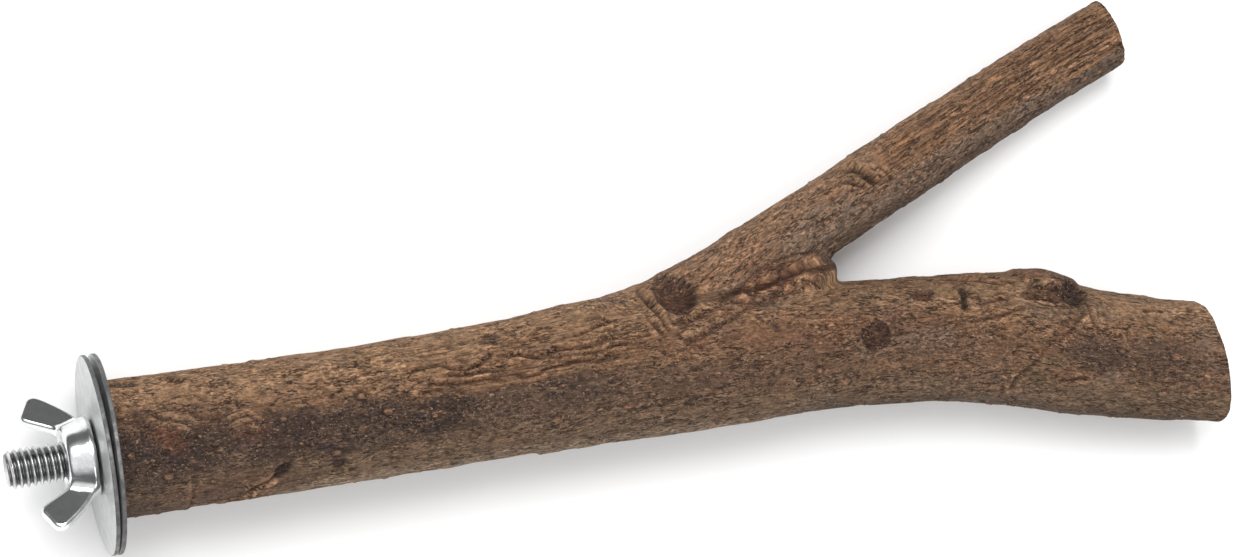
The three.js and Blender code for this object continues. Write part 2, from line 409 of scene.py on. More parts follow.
class Bark:
    """Height and colour of the bark at some points, built up mark by mark."""

    def __init__(self, x, around, wobble_x, wobble_v, height, colour):
        self.x, self.around = x, around
        self.wobble_x, self.wobble_v = wobble_x, wobble_v
        self.height, self.colour = height, colour
        self.fibres = np.zeros(len(x))
        self.skin = None

    def tint(self, colour, share):
        self.colour = mix(self.colour, colour, np.clip(share, 0, 1)[:, None])

    def shade(self, factor):
        self.colour = self.colour * factor[:, None]

    def near_path(self, path, wobble=1.0):
        return path_distance(self.x + wobble * self.wobble_x, self.around + wobble * self.wobble_v, path)

    def near_oval(self, centre, half_long, half_wide, turn=0.0, wobble=0.5):
        return oval_distance(self.x + wobble * self.wobble_x, self.around + wobble * self.wobble_v,
                             centre, half_long, half_wide, turn)

    def groove(self, path, width, depth, colour=None, lip=0.4, wobble=1.0):
        """A crack with a raised lip on both sides, fading out at its ends."""
        gap, share = self.near_path(path, wobble)
        fade = ease(0, 0.15, share) * ease(0, 0.15, 1 - share)
        cut = bell(gap, 0, width) * fade
        edge = bell(gap, 1.9 * width, width) * fade
        self.height += depth * (lip * edge - cut)
        self.tint(SCAR if colour is None else colour, 0.85 * cut)
        self.tint(PALE, min(0.65 * lip, 0.6) * edge)

    def patch(self, colour, centre, half_long, half_wide, strength, turn=0.0, softness=0.5, wobble=1.6):
        """A patch of colour with a cloudy edge, used for the stains and for one patch of painted rim light.
        """
        reach = self.near_oval(centre, half_long, half_wide, turn, wobble)
        reach = reach + 0.25 * self.skin.grain(1.6, 0.9, 2, 29)
        self.tint(colour, strength * (1 - ease(1 - softness, 1 + softness, reach)))

    def pit(self, centre, half_long, half_wide, depth, colour=DARK, turn=0.0, wobble=0.3):
        reach = self.near_oval(centre, half_long, half_wide, turn, wobble)
        inside = 1 - ease(0.7, 1.15, reach)
        self.height -= depth * inside
        self.tint(colour, 0.9 * inside)

    def corky_bump(self, centre, size, height=0.25, colour=PALE):
        reach = self.near_oval(centre, size, size * 0.8, 0, 0.2)
        self.height += height * bell(reach, 0, 1)
        self.tint(colour, 0.9 * (1 - ease(0.5, 1.1, reach)))


def bark_of(skin, colour):
    """Bark of one plain colour on a limb's skin."""
    height = np.zeros(len(skin.x))
    colours = np.zeros((len(skin.x), 3)) + colour
    wobble_x = 0.5 * skin.grain(3, 3, 2, 71)
    wobble_v = 0.45 * skin.grain(4, 2.5, 2, 83)
    bark = Bark(skin.x, skin.around, wobble_x, wobble_v, height, colours)
    bark.skin = skin
    return bark


def common_bark(bark, strength=1.0):
    """Swellings, wrinkles, flaked edges, pits and corky lenticels that cover the whole branch."""
    skin = bark.skin
    swells = 0.20 * skin.grain(12, 9, 2, 1) + 0.09 * skin.grain(4.5, 3.2, 2, 5)
    wrinkles = skin.grain(3.4, 0.8, 3, 11)
    flakes = skin.grain(3.0, 1.5, 3, 17)
    scaly = ease(-0.25, 0.2, skin.grain(14, 6, 2, 23))
    bark.height += swells + strength * 0.07 * wrinkles
    bark.shade(1 + 0.22 * wrinkles * strength)
    # Flaked edges: small steps in the bark, each with a painted highlight along its raised side and painted
    # shade at its foot.
    for level in (-0.12, 0.14):
        step = ease(level - 0.035, level + 0.035, flakes)
        bark.height += 0.075 * step * mix(0.4, 1.0, scaly)
        edge = bell(flakes - level, 0.04, 0.03) * mix(0.3, 1.0, scaly)
        bark.tint(PALE, 0.28 * edge)
        edge = bell(flakes - level, -0.05, 0.03) * mix(0.3, 1.0, scaly)
        bark.shade(1 - 0.25 * edge)

    gap, number = skin.specks(3.4, 2.4, 31, 0.4)
    pits = 1 - ease(0.09, 0.2 + 0.07 * number, gap)
    bark.height -= 0.16 * pits
    bark.tint(mix(SCAR, DARK, 0.5), 0.85 * pits)

    gap, number = skin.specks(3.9, 3.0, 57, 0.42)
    size = 0.14 + 0.07 * number
    bumps = 1 - ease(0.45 * size, size, gap)
    bark.height += 0.14 * bumps
    bark.shade(1 - 0.5 * bell(gap, size * 1.2, 0.06))
    bark.tint(mix(PALE, REDDISH * 1.5, 0.5 * (number[:, None] > -0.2)), 0.75 * bumps)


def main_bark(skin):
    """The stem, leader and leader end."""
    bark = bark_of(skin, TAN)
    x = skin.x
    drift = 2.0 * skin.grain(16, 9, 2, 201) + 0.9 * skin.grain(3.5, 1.5, 2, 211)
    around = skin.around + drift
    towards_fork = ease(70, 100, x)
    bark.tint(WARM, ease(-8, -2.5, around))
    bark.shade(1 - 0.2 * towards_fork * ease(-4, -8, around))
    bark.tint(mix(MIDDLE, WARM, 0.55 * towards_fork[:, None]), ease(-3.0, 0.5, around))
    bark.tint(mix(OLIVE, PALE_OLIVE, ease(20, 35, x)[:, None]), ease(3.5, 8.0, around))
    # Painted rim light: the bark is painted lighter along its lower rim, between x 16 and 112.
    rim_light_here = ease(16, 28, x) * ease(112, 98, x)
    bark.tint(mix(OLIVE, PAINTED_RIM_LIGHT, rim_light_here[:, None]), ease(9.0, 12.5, around))
    bark.shade(1 - 0.22 * ease(104, 114, x) * ease(9.0, 12.0, around))
    bark.shade(1 + 0.3 * ease(152, 160, x) * ease(-5, -9, around))
    bark.shade(1 - 0.3 * ease(12, 4, x) * ease(-8, -4, around))
    bark.tint(OLIVE, ease(16, 22, around))
    bark.tint(WARM, ease(24, 29, around) + ease(24, 29, -around))
    bark.tint(GREYED, 0.5 * ease(0.1, 0.5, skin.grain(9, 5, 2, 221)) * (x > 88))
    stem_stains_and_rim_light(bark)
    common_bark(bark)
    stem_marks(bark)
    leader_marks(bark)
    return bark


# Each patch's colour, middle, half length, half width and strength; some also have a turn, the
# softness of the edge and how far it wobbles. They run along the stem and leader: stains, and one
# patch of painted rim light.
STAINS_AND_RIM_LIGHT = (
    (DARK, (5, 1.5), 10, 4.4, 0.8),
    (DARK, (33, 1.8), 14, 3.6, 0.55),
    (DARK * 0.8, (48, 1.8), 5.6, 2.7, 0.95),
    (DARK, (69, 1.5), 5.5, 2.2, 0.5),
    (DARK, (96, 3.0), 12, 1.8, 0.35),
    (srgb(80, 59, 48), (8, -3.2), 10, 2.4, 0.75),
    (srgb(92, 62, 49), (7.9, -0.9), 2.9, 2.0, 0.8, 0, 0.35, 2.2),
    (DARK * 0.8, (10.8, -1.2), 1.3, 1.6, 0.8, 0, 0.3),
    (HOLLOW, (19.2, -0.8), 3.0, 1.9, 0.85, 0, 0.35, 2.2),
    (REDDISH, (112, -3), 16, 2.8, 0.45),
    (REDDISH, (88, -4), 9, 3, 0.35),
    (srgb(104, 76, 62), (16, 9.5), 11, 3.6, 0.5),
    # Painted rim light: a brighter patch on the stem's lower rim.
    (PAINTED_RIM_LIGHT * 1.25, (34, 12.4), 7, 1.6, 0.8),
    (DARK, (153, 1.0), 5.5, 2.6, 0.7),
    (DARK, (164, 1.8), 7, 1.8, 0.5),
    (srgb(70, 62, 60), (163, -1.2), 5, 1.6, 0.5),
)


def stem_stains_and_rim_light(bark):
    """Tan bark flaked away along a ragged edge, with a darker layer below it, stains and a patch of painted
    rim light.
    """
    skin = bark.skin
    ragged = skin.around + 1.7 * skin.grain(3.6, 2.0, 3, 233) + 1.3 * skin.grain(9, 4, 2, 239)
    ragged = ragged + 1.3 * ease(28, 20, bark.x)
    below = ease(-1.9, -1.5, ragged) * ease(7.5, 3.5, ragged) * ease(64, 40, bark.x)
    bark.height -= 0.13 * below
    bark.tint(srgb(70, 56, 50), 0.75 * below * ease(46, 28, bark.x))
    bark.tint(DARK, 0.35 * below)
    bark.tint(PALE, 0.35 * bell(ragged, -2.05, 0.22) * ease(60, 40, bark.x))
    for patch_entry in STAINS_AND_RIM_LIGHT:
        bark.patch(*patch_entry)


def stem_marks(bark):
    # A grey flake and two torn notches by the washer.
    bark.pit((2.8, -11.4), 2.6, 1.1, 0.35, srgb(60, 50, 43), 14)
    bark.pit((4.9, -13.4), 0.9, 0.6, 0.3, SCAR, 10)
    bark.pit((10.4, -10.7), 1.4, 0.85, 0.6, srgb(52, 34, 27), 40)
    bark.pit((13.6, -12.6), 1.8, 0.7, 0.5, srgb(58, 38, 30), 8)
    bark.corky_bump((14.6, -9.7), 0.5)
    # Ragged upper edges of the two reddish hollows.
    bark.groove([(4.4, -5.0), (6.4, -3.7), (8.2, -3.2), (10.4, -2.7), (11.9, -1.2)], 0.34, 0.34,
                DARK, 0.9, 1.4)
    bark.groove([(16.0, -1.5), (17.6, -2.4), (19.5, -2.7), (21.5, -0.8)], 0.32, 0.3, DARK, 0.9, 1.4)
    # A healed oval with a torn crack, pits and a step where a strip of bark is missing.
    bark.pit((23.6, 7.4), 2.1, 1.1, 0.5, DARK * 0.4, -42)
    bark.groove([(23.2, 8.3), (21.4, 8.9), (19.8, 10.0), (18.5, 11.4)], 0.4, 0.5, srgb(58, 40, 34), 0.9, 0.8)
    bark.groove([(21.6, 11.2), (19.0, 12.4), (16.3, 12.9), (14.0, 13.9)], 0.34, 0.32, SCAR, 0.9, 1.2)
    bark.corky_bump((21.6, 11.6), 1.9, 0.4, srgb(132, 102, 80))
    bark.pit((32.5, 7.5), 1.3, 0.85, 0.3, DARK * 0.5)
    bark.pit((34.4, 9.0), 0.7, 0.4, 0.22, DARK)
    step = ease(10.0, 10.7, bark.x + 0.9 * bark.skin.grain(2, 1.4, 3, 317))
    step = (1 - step) * ease(8.6, 9.6, bark.x)
    step = step * ease(5, 7, bark.around) * ease(17, 14, bark.around)
    bark.height += 0.3 * step
    bark.tint(srgb(122, 94, 74), 0.5 * step)
    bark.groove([(10.6, 6.6), (10.9, 9.4), (10.5, 12.4), (10.2, 14.4)], 0.3, 0.25, SCAR, 0.2, 1.2)
    bark.pit((58.5, -9.3), 1.5, 0.75, 0.3, DARK * 0.6, 5)
    bark.pit((64.9, -7.7), 1.0, 0.5, 0.25, SCAR, 5)
    bark.corky_bump((44.8, -2.0), 1.0)
    bark.corky_bump((46.1, -7.3), 0.6)
    bark.corky_bump((48.1, 1.8), 1.1, 0.2, srgb(120, 92, 74))
    bark.corky_bump((55.2, -6.6), 0.9, 0.2)
    bark.corky_bump((85.9, -3.0), 0.65)
    bark.corky_bump((69.2, 8.2), 0.4)
    # Long cracks with lifted lips, where the outer bark has split on the way to the fork.
    zone = ease(44, 50, bark.x) * ease(86, 78, bark.x)
    zone = zone * ease(-10.5, -8.5, bark.around) * ease(0.2, -1.6, bark.around)
    ridges = 1 - np.abs(bark.skin.grain(5.0, 1.2, 3, 301))
    cracks = ease(0.88, 0.98, ridges) * zone
    bark.height -= 0.18 * cracks
    bark.tint(SCAR, 0.6 * cracks)
    bark.tint(WARM, 0.35 * zone * ease(-5.5, -3.0, bark.around))
    bark.fibres = 0.8 * zone
    for path, size in (
        ([(43, -5.4), (47, -5.2), (50, -4.9), (53.2, -4.1), (55.4, -4.6), (57.6, -5.8),
          (58.6, -6.6)], 0.95),
        ([(45.7, -1.4), (47.5, -2.8), (50.9, -2.3), (54.8, -2.1), (58.6, -2.0)], 1.1),
        ([(57.4, -5.1), (61.6, -4.7), (64.8, -4.0), (68.5, -4.5), (72.7, -4.6), (77.4, -4.7)], 1.15),
        ([(59.4, -2.1), (62.4, -1.5), (65.5, -1.9), (69.6, -2.6), (72.9, -2.1), (76, -2.4),
          (79.3, -3.2)], 0.95),
        ([(70.1, -6.4), (72.6, -7.1), (75.5, -7.3), (77.2, -7.9)], 0.9),
        ([(60.4, -7.2), (62.6, -8.1), (65.1, -7.7)], 0.7),
        ([(66, -3.2), (70, -3.6), (74, -3.3), (78, -3.8)], 0.8),
        ([(49, -3.6), (52.5, -3.3), (56, -3.5), (60, -3.3)], 0.75),
        ([(30, -5.6), (36, -5.4), (42, -5.9)], 0.45),
        ([(24, -8.6), (31, -8.2), (38, -8.4)], 0.4),
    ):
        bark.groove(path, 0.33 * size, 0.5 * size, srgb(62, 40, 31), lip=1.1, wobble=1.7)


def leader_marks(bark):
    # A fallen twig's polygon scar and a speck beside it.
    reach = bark.near_oval((117.3, -0.9), 2.2, 2.6, 20, 0.9)
    reach = np.maximum(reach, bark.near_oval((116.9, -0.5), 2.1, 3.4, 60, 0.4))
    inside = 1 - ease(0.88, 1.0, reach)
    bark.height -= 0.4 * inside
    bark.tint(srgb(70, 47, 38), inside)
    bark.shade(1 + 0.5 * inside * bark.skin.grain(0.9, 0.9, 2, 431))
    bark.tint(DARK * 0.7, 0.9 * bell(reach, 0.97, 0.1))
    bark.height += 0.14 * bell(reach, 1.22, 0.12)
    bark.pit((120.6, -0.8), 0.7, 0.5, 0.2, SCAR)
    # An oval scar with a ring round it, and a dark slash made of two hollows.
    reach = bark.near_oval((125.9, -7.4), 1.75, 1.25, 0, 0.3)
    inside = 1 - ease(0.85, 1.0, reach)
    bark.height -= 0.15 * inside
    bark.tint(srgb(84, 57, 45), 0.95 * inside)
    bark.tint(DARK, 0.7 * bell(reach, 1.0, 0.12))
    bark.height += 0.16 * bell(reach, 1.2, 0.15)
    bark.pit((132.5, -7.6), 0.8, 1.1, 0.6, DARK * 0.3, 0)
    bark.pit((132.1, -5.6), 0.6, 1.5, 0.5, DARK * 0.3, 8)
    bark.corky_bump((105.9, -7.1), 0.55)
    bark.corky_bump((167.6, 3.0), 0.55)
    bark.corky_bump((170.9, 2.8), 0.45)
    bark.pit((157.1, 0.7), 0.75, 0.7, 0.25, DARK)
    bark.pit((145.4, 3.0), 0.7, 0.6, 0.2, DARK)
    twig_knot(bark)
    # The collar round the second fork, with the wrinkles beside it.
    bark.groove([(150.4, -7.0), (149.8, -5.6), (146.8, -1.9), (144.5, 0.9)], 0.55, 0.6, DARK * 0.5, 0.5, 0.8)
    bark.groove([(144.9, 0.4), (144.0, 2.7), (142.9, 4.0), (140.9, 6.8), (140.8, 10.5)], 0.4, 0.35,
                srgb(66, 44, 35), 0.6, 1.0)
    bark.groove([(150.9, -6.0), (148.4, -2.6), (146.2, 0.6)], 0.34, 0.42, srgb(62, 38, 30), 0.9, 0.9)
    bark.groove([(149.0, -6.4), (147.0, -3.8), (145.2, -1.2)], 0.3, 0.3, SCAR * 0.8, 0.4, 1.2)
    bark.groove([(151.4, -7.9), (151.6, -5.4), (152.8, -2.4)], 0.35, 0.32, mix(SCAR, REDDISH, 0.4), 0.8, 0.5)
    bark.patch(REDDISH * 0.9, (146, 0), 4.5, 1.6, 0.45, -52)
    bark.patch(srgb(104, 88, 68), (147.5, 5), 5.5, 3.5, 0.5)
    bark.patch(REDDISH, (150.0, 4.6), 3.4, 1.5, 0.5, -8)
    bark.groove([(147.9, 6.2), (149.6, 5.9), (152.4, 4.8)], 0.42, 0.3, srgb(70, 38, 30), 0.5, 0.6)
    bark.groove([(134.3, 7.9), (136.2, 8.3), (138.0, 8.1)], 0.36, 0.25, WRINKLE, 0.6, 0.4)
    bark.groove([(138.9, 8.2), (139.5, 10), (139.2, 11.9)], 0.36, 0.25, WRINKLE, 0.6, 0.4)
    # Bark torn ragged along the top of the sawn end.
    ragged = ease(172.2, 173.6, bark.x + 0.9 * bark.skin.grain(1.2, 1.2, 2, 401))
    ragged = ragged * ease(-2, -6, bark.around) * ease(-18, -14, bark.around)
    bark.height -= 0.35 * ragged
    bark.tint(PALE, 0.8 * ragged)


def twig_knot(bark):
    """The stub of a lost twig: a smooth lip over a dark torn face, with a hole at its far end."""
    lip = bark.near_oval((145.6, -12.6), 5.4, 3.2, 8, 0.4)
    over = 1 - ease(0.75, 1.05, lip)
    bark.height += 0.35 * over
    bark.tint(srgb(116, 86, 68), 0.75 * over)
    bark.tint(HOLLOW, 0.6 * over * ease(146.5, 148.5, bark.x))
    face = bark.near_oval((145.6, -7.9), 4.9, 1.85, -6, 0.9)
    torn = 1 - ease(0.7, 1.0, face)
    bark.height -= 0.5 * torn
    bark.tint(srgb(70, 46, 37), 0.95 * torn)
    # Painted highlight along the edge of the torn face, on its side towards the stem.
    bark.tint(PALE, 0.5 * bell(face, 1.12, 0.12) * ease(149, 146, bark.x))
    stripes = np.sin(bark.around * 5.5 + 0.9 * bark.x + 3 * bark.skin.grain(3, 1.5, 2, 443))
    bark.height += 0.09 * stripes * torn
    bark.shade(1 + 0.3 * stripes * torn)
    bark.groove([(141.6, -9.6), (143.4, -9.3), (145.4, -9.0), (147.2, -9.6), (149.0, -10.9)], 0.5, 0.8,
                DARK * 0.3, 0.3, 0.4)
    bark.groove([(141.0, -6.3), (143.6, -6.9), (146.8, -6.4)], 0.35, 0.4, SCAR * 0.7, 0.2, 0.5)
    bark.patch(DARK, (148.6, -9.4), 3.2, 2.4, 0.75)
    bark.pit((149.3, -8.6), 2.0, 2.5, 1.0, srgb(48, 37, 34), 35, 0.6)
    bark.pit((148.4, -10.4), 0.8, 0.9, 0.4, DARK * 0.6, 20, 0.3)
    bark.groove([(142.6, -5.4), (140.2, -4.4), (138.0, -3.5), (134.8, -2.7), (131.4, -2.4)], 0.34, 0.5,
                srgb(58, 38, 32), 0.5, 0.6)
    for path in (
        [(130, -12.6), (134.5, -12.4), (138.5, -11.3), (141.9, -8.3)],
        [(132.5, -10.6), (136.5, -10.2), (139.6, -9.2)],
        [(137.3, -7.6), (139.2, -7.2), (140.6, -7.4)],
        [(134.6, -5.4), (136.8, -5.8), (139.4, -6.0)],
    ):
        bark.groove(path, 0.36, 0.28, wobble=0.8)


def side_bark(skin):
    """The side branch: a fibrous reddish strip above, where bark has worn off, and smooth grey below."""
    bark = bark_of(skin, srgb(148, 118, 94))
    x = skin.x
    around = skin.around + 0.9 * skin.grain(12, 5, 2, 501)
    bark.tint(srgb(142, 110, 86), ease(-5, -2, around))
    bark.tint(srgb(120, 103, 91), ease(-0.5, 2.5, around))
    bark.tint(srgb(98, 82, 71), ease(3.5, 6, around))
    bark.tint(OLIVE, ease(8.5, 12, around))
    bark.tint(WARM, ease(13, 16, around) + ease(9, 14, -around))
    bark.patch(srgb(116, 101, 90), (113, 0.5), 9, 3, 0.7)
    bark.shade(1 + 0.3 * ease(146, 156, x) * ease(-4, 0, around) * ease(4, 2, around))
    common_bark(bark, 0.9)
    edge = mix(0.2, 3.2, ease(140, 158, x)) + 0.8 * skin.grain(4, 1.5, 3, 505)
    worn = ease(122, 132, x) * ease(-7.5, -5.5, skin.around)
    worn = worn * ease(0.35, -0.35, skin.around - edge)
    bark.height -= 0.10 * worn
    bark.tint(srgb(138, 106, 82), 0.6 * worn)
    bark.fibres = worn
    streaks = 1 - np.abs(skin.grain(8, 0.9, 3, 511))
    cracks = ease(0.84, 0.96, streaks) * worn
    bark.height -= 0.16 * cracks
    bark.tint(RUST, 0.6 * cracks)
    bark.tint(srgb(164, 122, 88), 0.5 * ease(0.1, 0.5, skin.grain(7, 0.8, 2, 521)) * worn)
    bark.height += 0.16 * bell(skin.around, edge, 0.35) * ease(128, 136, x)
    for start, v in ((150, -3.4), (146, -2.0), (152, -0.6), (147, 0.8), (156, 2.0)):
        path = [(start, v), (start + 5, v + 0.3), (start + 11, v - 0.2), (168, v + 0.3)]
        bark.groove(path, 0.22, 0.26, RUST, 0.8, 0.8)
    # The deepest split near the sawn end, with its pale lip.
    near_end = ease(153, 160, x)
    bark.shade(1 - 0.35 * near_end * bell(skin.around, -1.0, 0.8))
    bark.shade(1 + 0.5 * near_end * bell(skin.around, 1.1, 0.9))
    # A bud scar with a dark arc and curved ridges.
    bark.pit((121.4, -2.3), 2.3, 1.15, 0.6, BUD_SHADOW * 0.7, 52)
    bark.groove([(120.3, -5.2), (121.6, -4.6), (122.5, -3.2), (123.0, -1.2), (123.2, 0.6)], 0.55, 0.7,
                BUD_SHADOW * 0.6, 0.9, 0.3)
    bark.groove([(119.0, -3.6), (120.6, -2.2), (121.6, -0.4)], 0.36, 0.35, SCAR, 1.0, 0.3)
    bark.groove([(123.6, -3.2), (124.3, -1.6), (124.5, 0.4)], 0.32, 0.35, SCAR, 1.0, 0.3)
    bark.groove([(124.7, -2.6), (125.4, -1.0), (125.5, 0.6)], 0.28, 0.3, SCAR, 1.0, 0.3)
    bark.corky_bump((96.7, -0.8), 0.5)
    bark.corky_bump((107.8, -2.6), 0.45)
    bark.corky_bump((127.5, 2.6), 0.35)
    return bark


def fork_marks(points, height, colour):
    """Marks on top of the main fork, placed by x and y: the bark ridge, a knot scar and wrinkles."""
    wobble_x = 0.5 * layered(points / 3, 2, 601)
    wobble_v = 0.5 * layered(points / 3, 2, 607)
    fork = Bark(points[:, 0], points[:, 1], wobble_x, wobble_v, height.copy(), colour.copy())

    # The bark ridge, which splits in two on its way into the crotch.
    strands = (
        [(85.4, 4.9), (88.5, 4.1), (90.9, 5.0), (94.3, 5.9), (97.5, 7.3), (103.4, 8.4), (107.1, 8.9),
         (110.2, 9.5), (114.5, 10.4)],
        [(97.5, 7.3), (100.6, 9.3), (103.1, 10.5), (106.3, 11.7), (110, 11.8), (114.5, 11.2)],
    )
    rough = layered(points / np.array([1.2, 0.8, 0.8]), 3, 613)
    between = oval_distance(fork.x, fork.around, (106, 10.1), 8.5, 1.9, 6)
    torn = 1 - ease(0.7, 1.1, between)
    fork.tint(srgb(96, 66, 53), 0.85 * torn)
    fork.height += torn * (0.35 * rough - 0.1)
    for strand in strands:
        gap, share = fork.near_path(strand, 1.0)
        fade = ease(0, 0.06, share) * ease(0, 0.2, 1 - share)
        crest = bell(gap, 0, 0.85) * fade
        fork.height += crest * (0.42 + 0.5 * rough)
        fork.tint(srgb(146, 110, 84), 0.85 * crest)
        fork.tint(SCAR, 0.8 * crest * ease(-0.05, -0.35, rough))
        fork.tint(PALE, 0.75 * crest * ease(-0.05, 0.35, rough))
        edge = bell(gap, 1.25, 0.35) * fade
        fork.height -= 0.3 * edge
        fork.tint(srgb(70, 46, 38), 0.85 * edge)

    # The round knot scar: a dark sunken disc with swirls and a rim.
    reach = fork.near_oval((88.1, 9.8), 3.2, 3.0, -22, 0.6)
    inside = 1 - ease(0.86, 1.0, reach)
    swirl = np.sin(8 * reach + 4.5 * layered(points / 1.8, 3, 617))
    fork.height += inside * (0.2 * swirl - 0.5) + 0.3 * bell(reach, 1.12, 0.13)
    fork.tint(srgb(72, 50, 41), 0.95 * inside)
    swirled = inside * ease(0.3, 0.95, swirl) * ease(90.5, 86.5, fork.x)
    fork.tint(srgb(128, 92, 70), 0.55 * swirled)
    fork.tint(DARK * 0.7, 0.8 * bell(reach, 0.97, 0.08))

    fork.groove([(82.9, 11.9), (83.6, 9.2), (85.5, 5.7)], 0.42, 0.6, DARK * 0.5, 0.6, 0.2)
    fork.groove([(82.6, 7.6), (83.2, 6.2), (84.3, 4.2)], 0.4, 0.4, SCAR * 0.8, 0.5, 0.4)
    fork.groove([(85.4, 7.4), (86.6, 6.2), (88.6, 5.9)], 0.36, 0.25, SCAR, 0.5, 0.9)

    upper = ease(*FORK_MARKS_RISE, points[:, 2]) * ease(*FORK_MARKS_BEGIN, points[:, 0])
    return mix(height, fork.height, upper), mix(colour, fork.colour, upper[:, None])


def bark_on(points):
    """Height in millimetres, colour with the fibrous share as its alpha, and straightened place."""
    main, branch = limb_distances(points)
    on_side = ease(-0.9, 0.9, main - branch)
    height = np.zeros(len(points))
    colour = np.zeros((len(points), 4))
    grain = np.zeros((len(points), 3))
    for limb, girth_radius, stretch, paint, share in (
        (MAIN, MAIN_GIRTH_RADIUS, 1.0, main_bark, 1 - on_side),
        (SIDE, SIDE_GIRTH_RADIUS, SIDE_STRETCH, side_bark, on_side),
    ):
        here = share > 0
        skin = Skin(limb, points[here], girth_radius, stretch)
        bark = paint(skin)
        height[here] += share[here] * bark.height
        colour[here, :3] += share[here, None] * bark.colour
        colour[here, 3] += share[here] * bark.fibres
        grain[here] += share[here, None] * skin.straight
    near = (points[:, 0] > FORK_START) & (points[:, 0] < FORK_END)
    height[near], colour[near, :3] = fork_marks(points[near], height[near], colour[near, :3])
    colour[:, :3] *= BARK_DEPTH * BARK_WARMTH
    return height, np.clip(colour, 0, 1), grain


# ---- Sawn ends and pieces of the branch ----

WOOD_PIECES = ("stem", "side_branch", "leader", "leader_end")
# Rings of points on a sawn face and on a plain seam, and the share of the way in that is bark.
SAWN_RINGS, SEAM_RINGS = 22, 3
BARK_RING = 0.1
SAW_MARK_SPACING, SAW_MARK_DEPTH = 0.9, 0.05
INNER_BARK = srgb(88, 66, 52)
SAWN_WOOD = srgb(178, 142, 104)
PITH = srgb(120, 86, 58)


def is_past(points, line):
    """True to the right of a line seen from above."""
    (x0, y0), (x1, y1) = line
    return (x1 - x0) * (points[:, 1] - y0) - (y1 - y0) * (points[:, 0] - x0) < 0


def piece_of(points):
    """Which of the wood pieces each point belongs to, by the seams at the forks."""
    beside_branch = is_past(points, BRANCH_SEAM)
    below_ridge = is_past(points, RIDGE_SEAM)
    past_heart = is_past(points, HEART_SEAM)
    past_collar = is_past(points, COLLAR_SEAM)
    number = np.where(past_heart & below_ridge, 2, 0)
    number = np.where(past_collar & below_ridge, 3, number)
    return np.where(~beside_branch & ~below_ridge, 1, number)


def beyond_cut(points, cut):
    (x, y), heading = cut
    return (points[:, 0] - x) * np.cos(heading) + (points[:, 1] - y) * np.sin(heading)


def sawn_off(points, cut):
    """Which points lie past a cut, on the limb that it ends."""
    close = np.hypot(points[:, 0] - cut[0][0], points[:, 1] - cut[0][1]) < CUT_REACH
    return close & (beyond_cut(points, cut) > 0)


def push_to_cut(points, cut, which):
    """Moves those points straight back onto a cut's plane."""
    past = beyond_cut(points, cut)[which]
    points[which, 0] -= past * np.cos(cut[1])
    points[which, 1] -= past * np.sin(cut[1])


def saw(points, quads):
    """Drops the quads beyond the sawn ends, and says which points lie on each cut."""
    on_cuts = {}
    for name, cut in CUTS.items():
        on_cuts[name] = sawn_off(points, cut)
        quads = quads[~on_cuts[name][quads].all(axis=1)]
    return quads, on_cuts


def open_loops(quads):
    """The open edges of a sheet of quads as loops, turning the way that a cap's faces do."""
    edges = np.concatenate([quads[:, [k, (k + 1) % 4]] for k in range(4)])
    there = {(int(a), int(b)) for a, b in edges}
    follow = {b: a for a, b in there if (b, a) not in there}
    loops = []
    while follow:
        first, at = follow.popitem()
        loop = [first]
        while at != first:
            loop.append(at)
            at = follow.pop(at)
        loops.append(loop)
    return loops


def quads_between(numbers):
    """The quads between rows of numbered points, each row a closed ring."""
    after = np.roll(numbers, -1, axis=1)
    return np.stack([numbers[:-1], after[:-1], after[1:], numbers[1:]], axis=-1).reshape(-1, 4)


def fan(ring, centre):
    """Triangles from a ring of numbered points to a point in its middle."""
    return np.stack([ring, np.roll(ring, -1), np.full(len(ring), centre)], axis=-1)


def cap_over(rim, first_new, rings):
    """Rings of points from a rim in to its middle, with the quads and triangles between them.
    The rim's own points are numbered from 0 and the new ones from first_new."""
    count = len(rim)
    middle = rim.mean(axis=0)
    shares = np.arange(1, rings) / rings
    rows = rim[None] + (middle - rim)[None] * shares[:, None, None]
    points = np.concatenate([rows.reshape(-1, 3), middle[None]])
    centre = first_new + count * (rings - 1)
    inner = np.arange(first_new, centre).reshape(-1, count)
    numbers = np.concatenate([np.arange(count)[None], inner])
    shares = np.append(np.repeat(shares, count), 1.0)
    return points, quads_between(numbers), fan(numbers[-1], centre), shares


def point_normals(points, *face_sets):
    normals = np.zeros((len(points), 3))
    for faces in face_sets:
        a, b, c, d = (points[faces[:, k % faces.shape[1]]] for k in range(4))
        facing = np.cross(c - a, (d if faces.shape[1] == 4 else a) - b)
        for k in range(faces.shape[1]):
            for axis in range(3):
                normals[:, axis] += np.bincount(faces[:, k], facing[:, axis], len(points))
    return normals / np.maximum(np.linalg.norm(normals, axis=1, keepdims=True), 1e-12)


class Sheet:
    """Points with their faces, normals, colours and grain, which several parts are joined into."""

    def __init__(self, points, normals, colours, grain):
        self.parts = [(points, normals, colours, grain)]
        self.faces = []

    def count(self):
        return sum(len(part[0]) for part in self.parts)

    def add(self, points, normals, colours, grain):
        self.parts.append((points, normals, colours, grain))

    def build(self, name, materials):
        points, normals, colours, grain = (np.concatenate(column) for column in zip(*self.parts))
        piece = mesh_object(name, points, [faces for faces, _ in self.faces])
        mesh = piece.data
        for material in materials:
            mesh.materials.append(material)
        numbers = np.concatenate([np.full(len(faces), number) for faces, number in self.faces])
        mesh.polygons.foreach_set("material_index", numbers.astype(np.int32))
        painted = mesh.attributes.new("bark_colour", "FLOAT_COLOR", "POINT")
        painted.data.foreach_set("color", colours.astype(np.float32).ravel())
        straight = mesh.attributes.new("grain", "FLOAT_VECTOR", "POINT")
        straight.data.foreach_set("vector", grain.astype(np.float32).ravel())
        mesh.normals_split_custom_set_from_vertices(normals)
        return piece


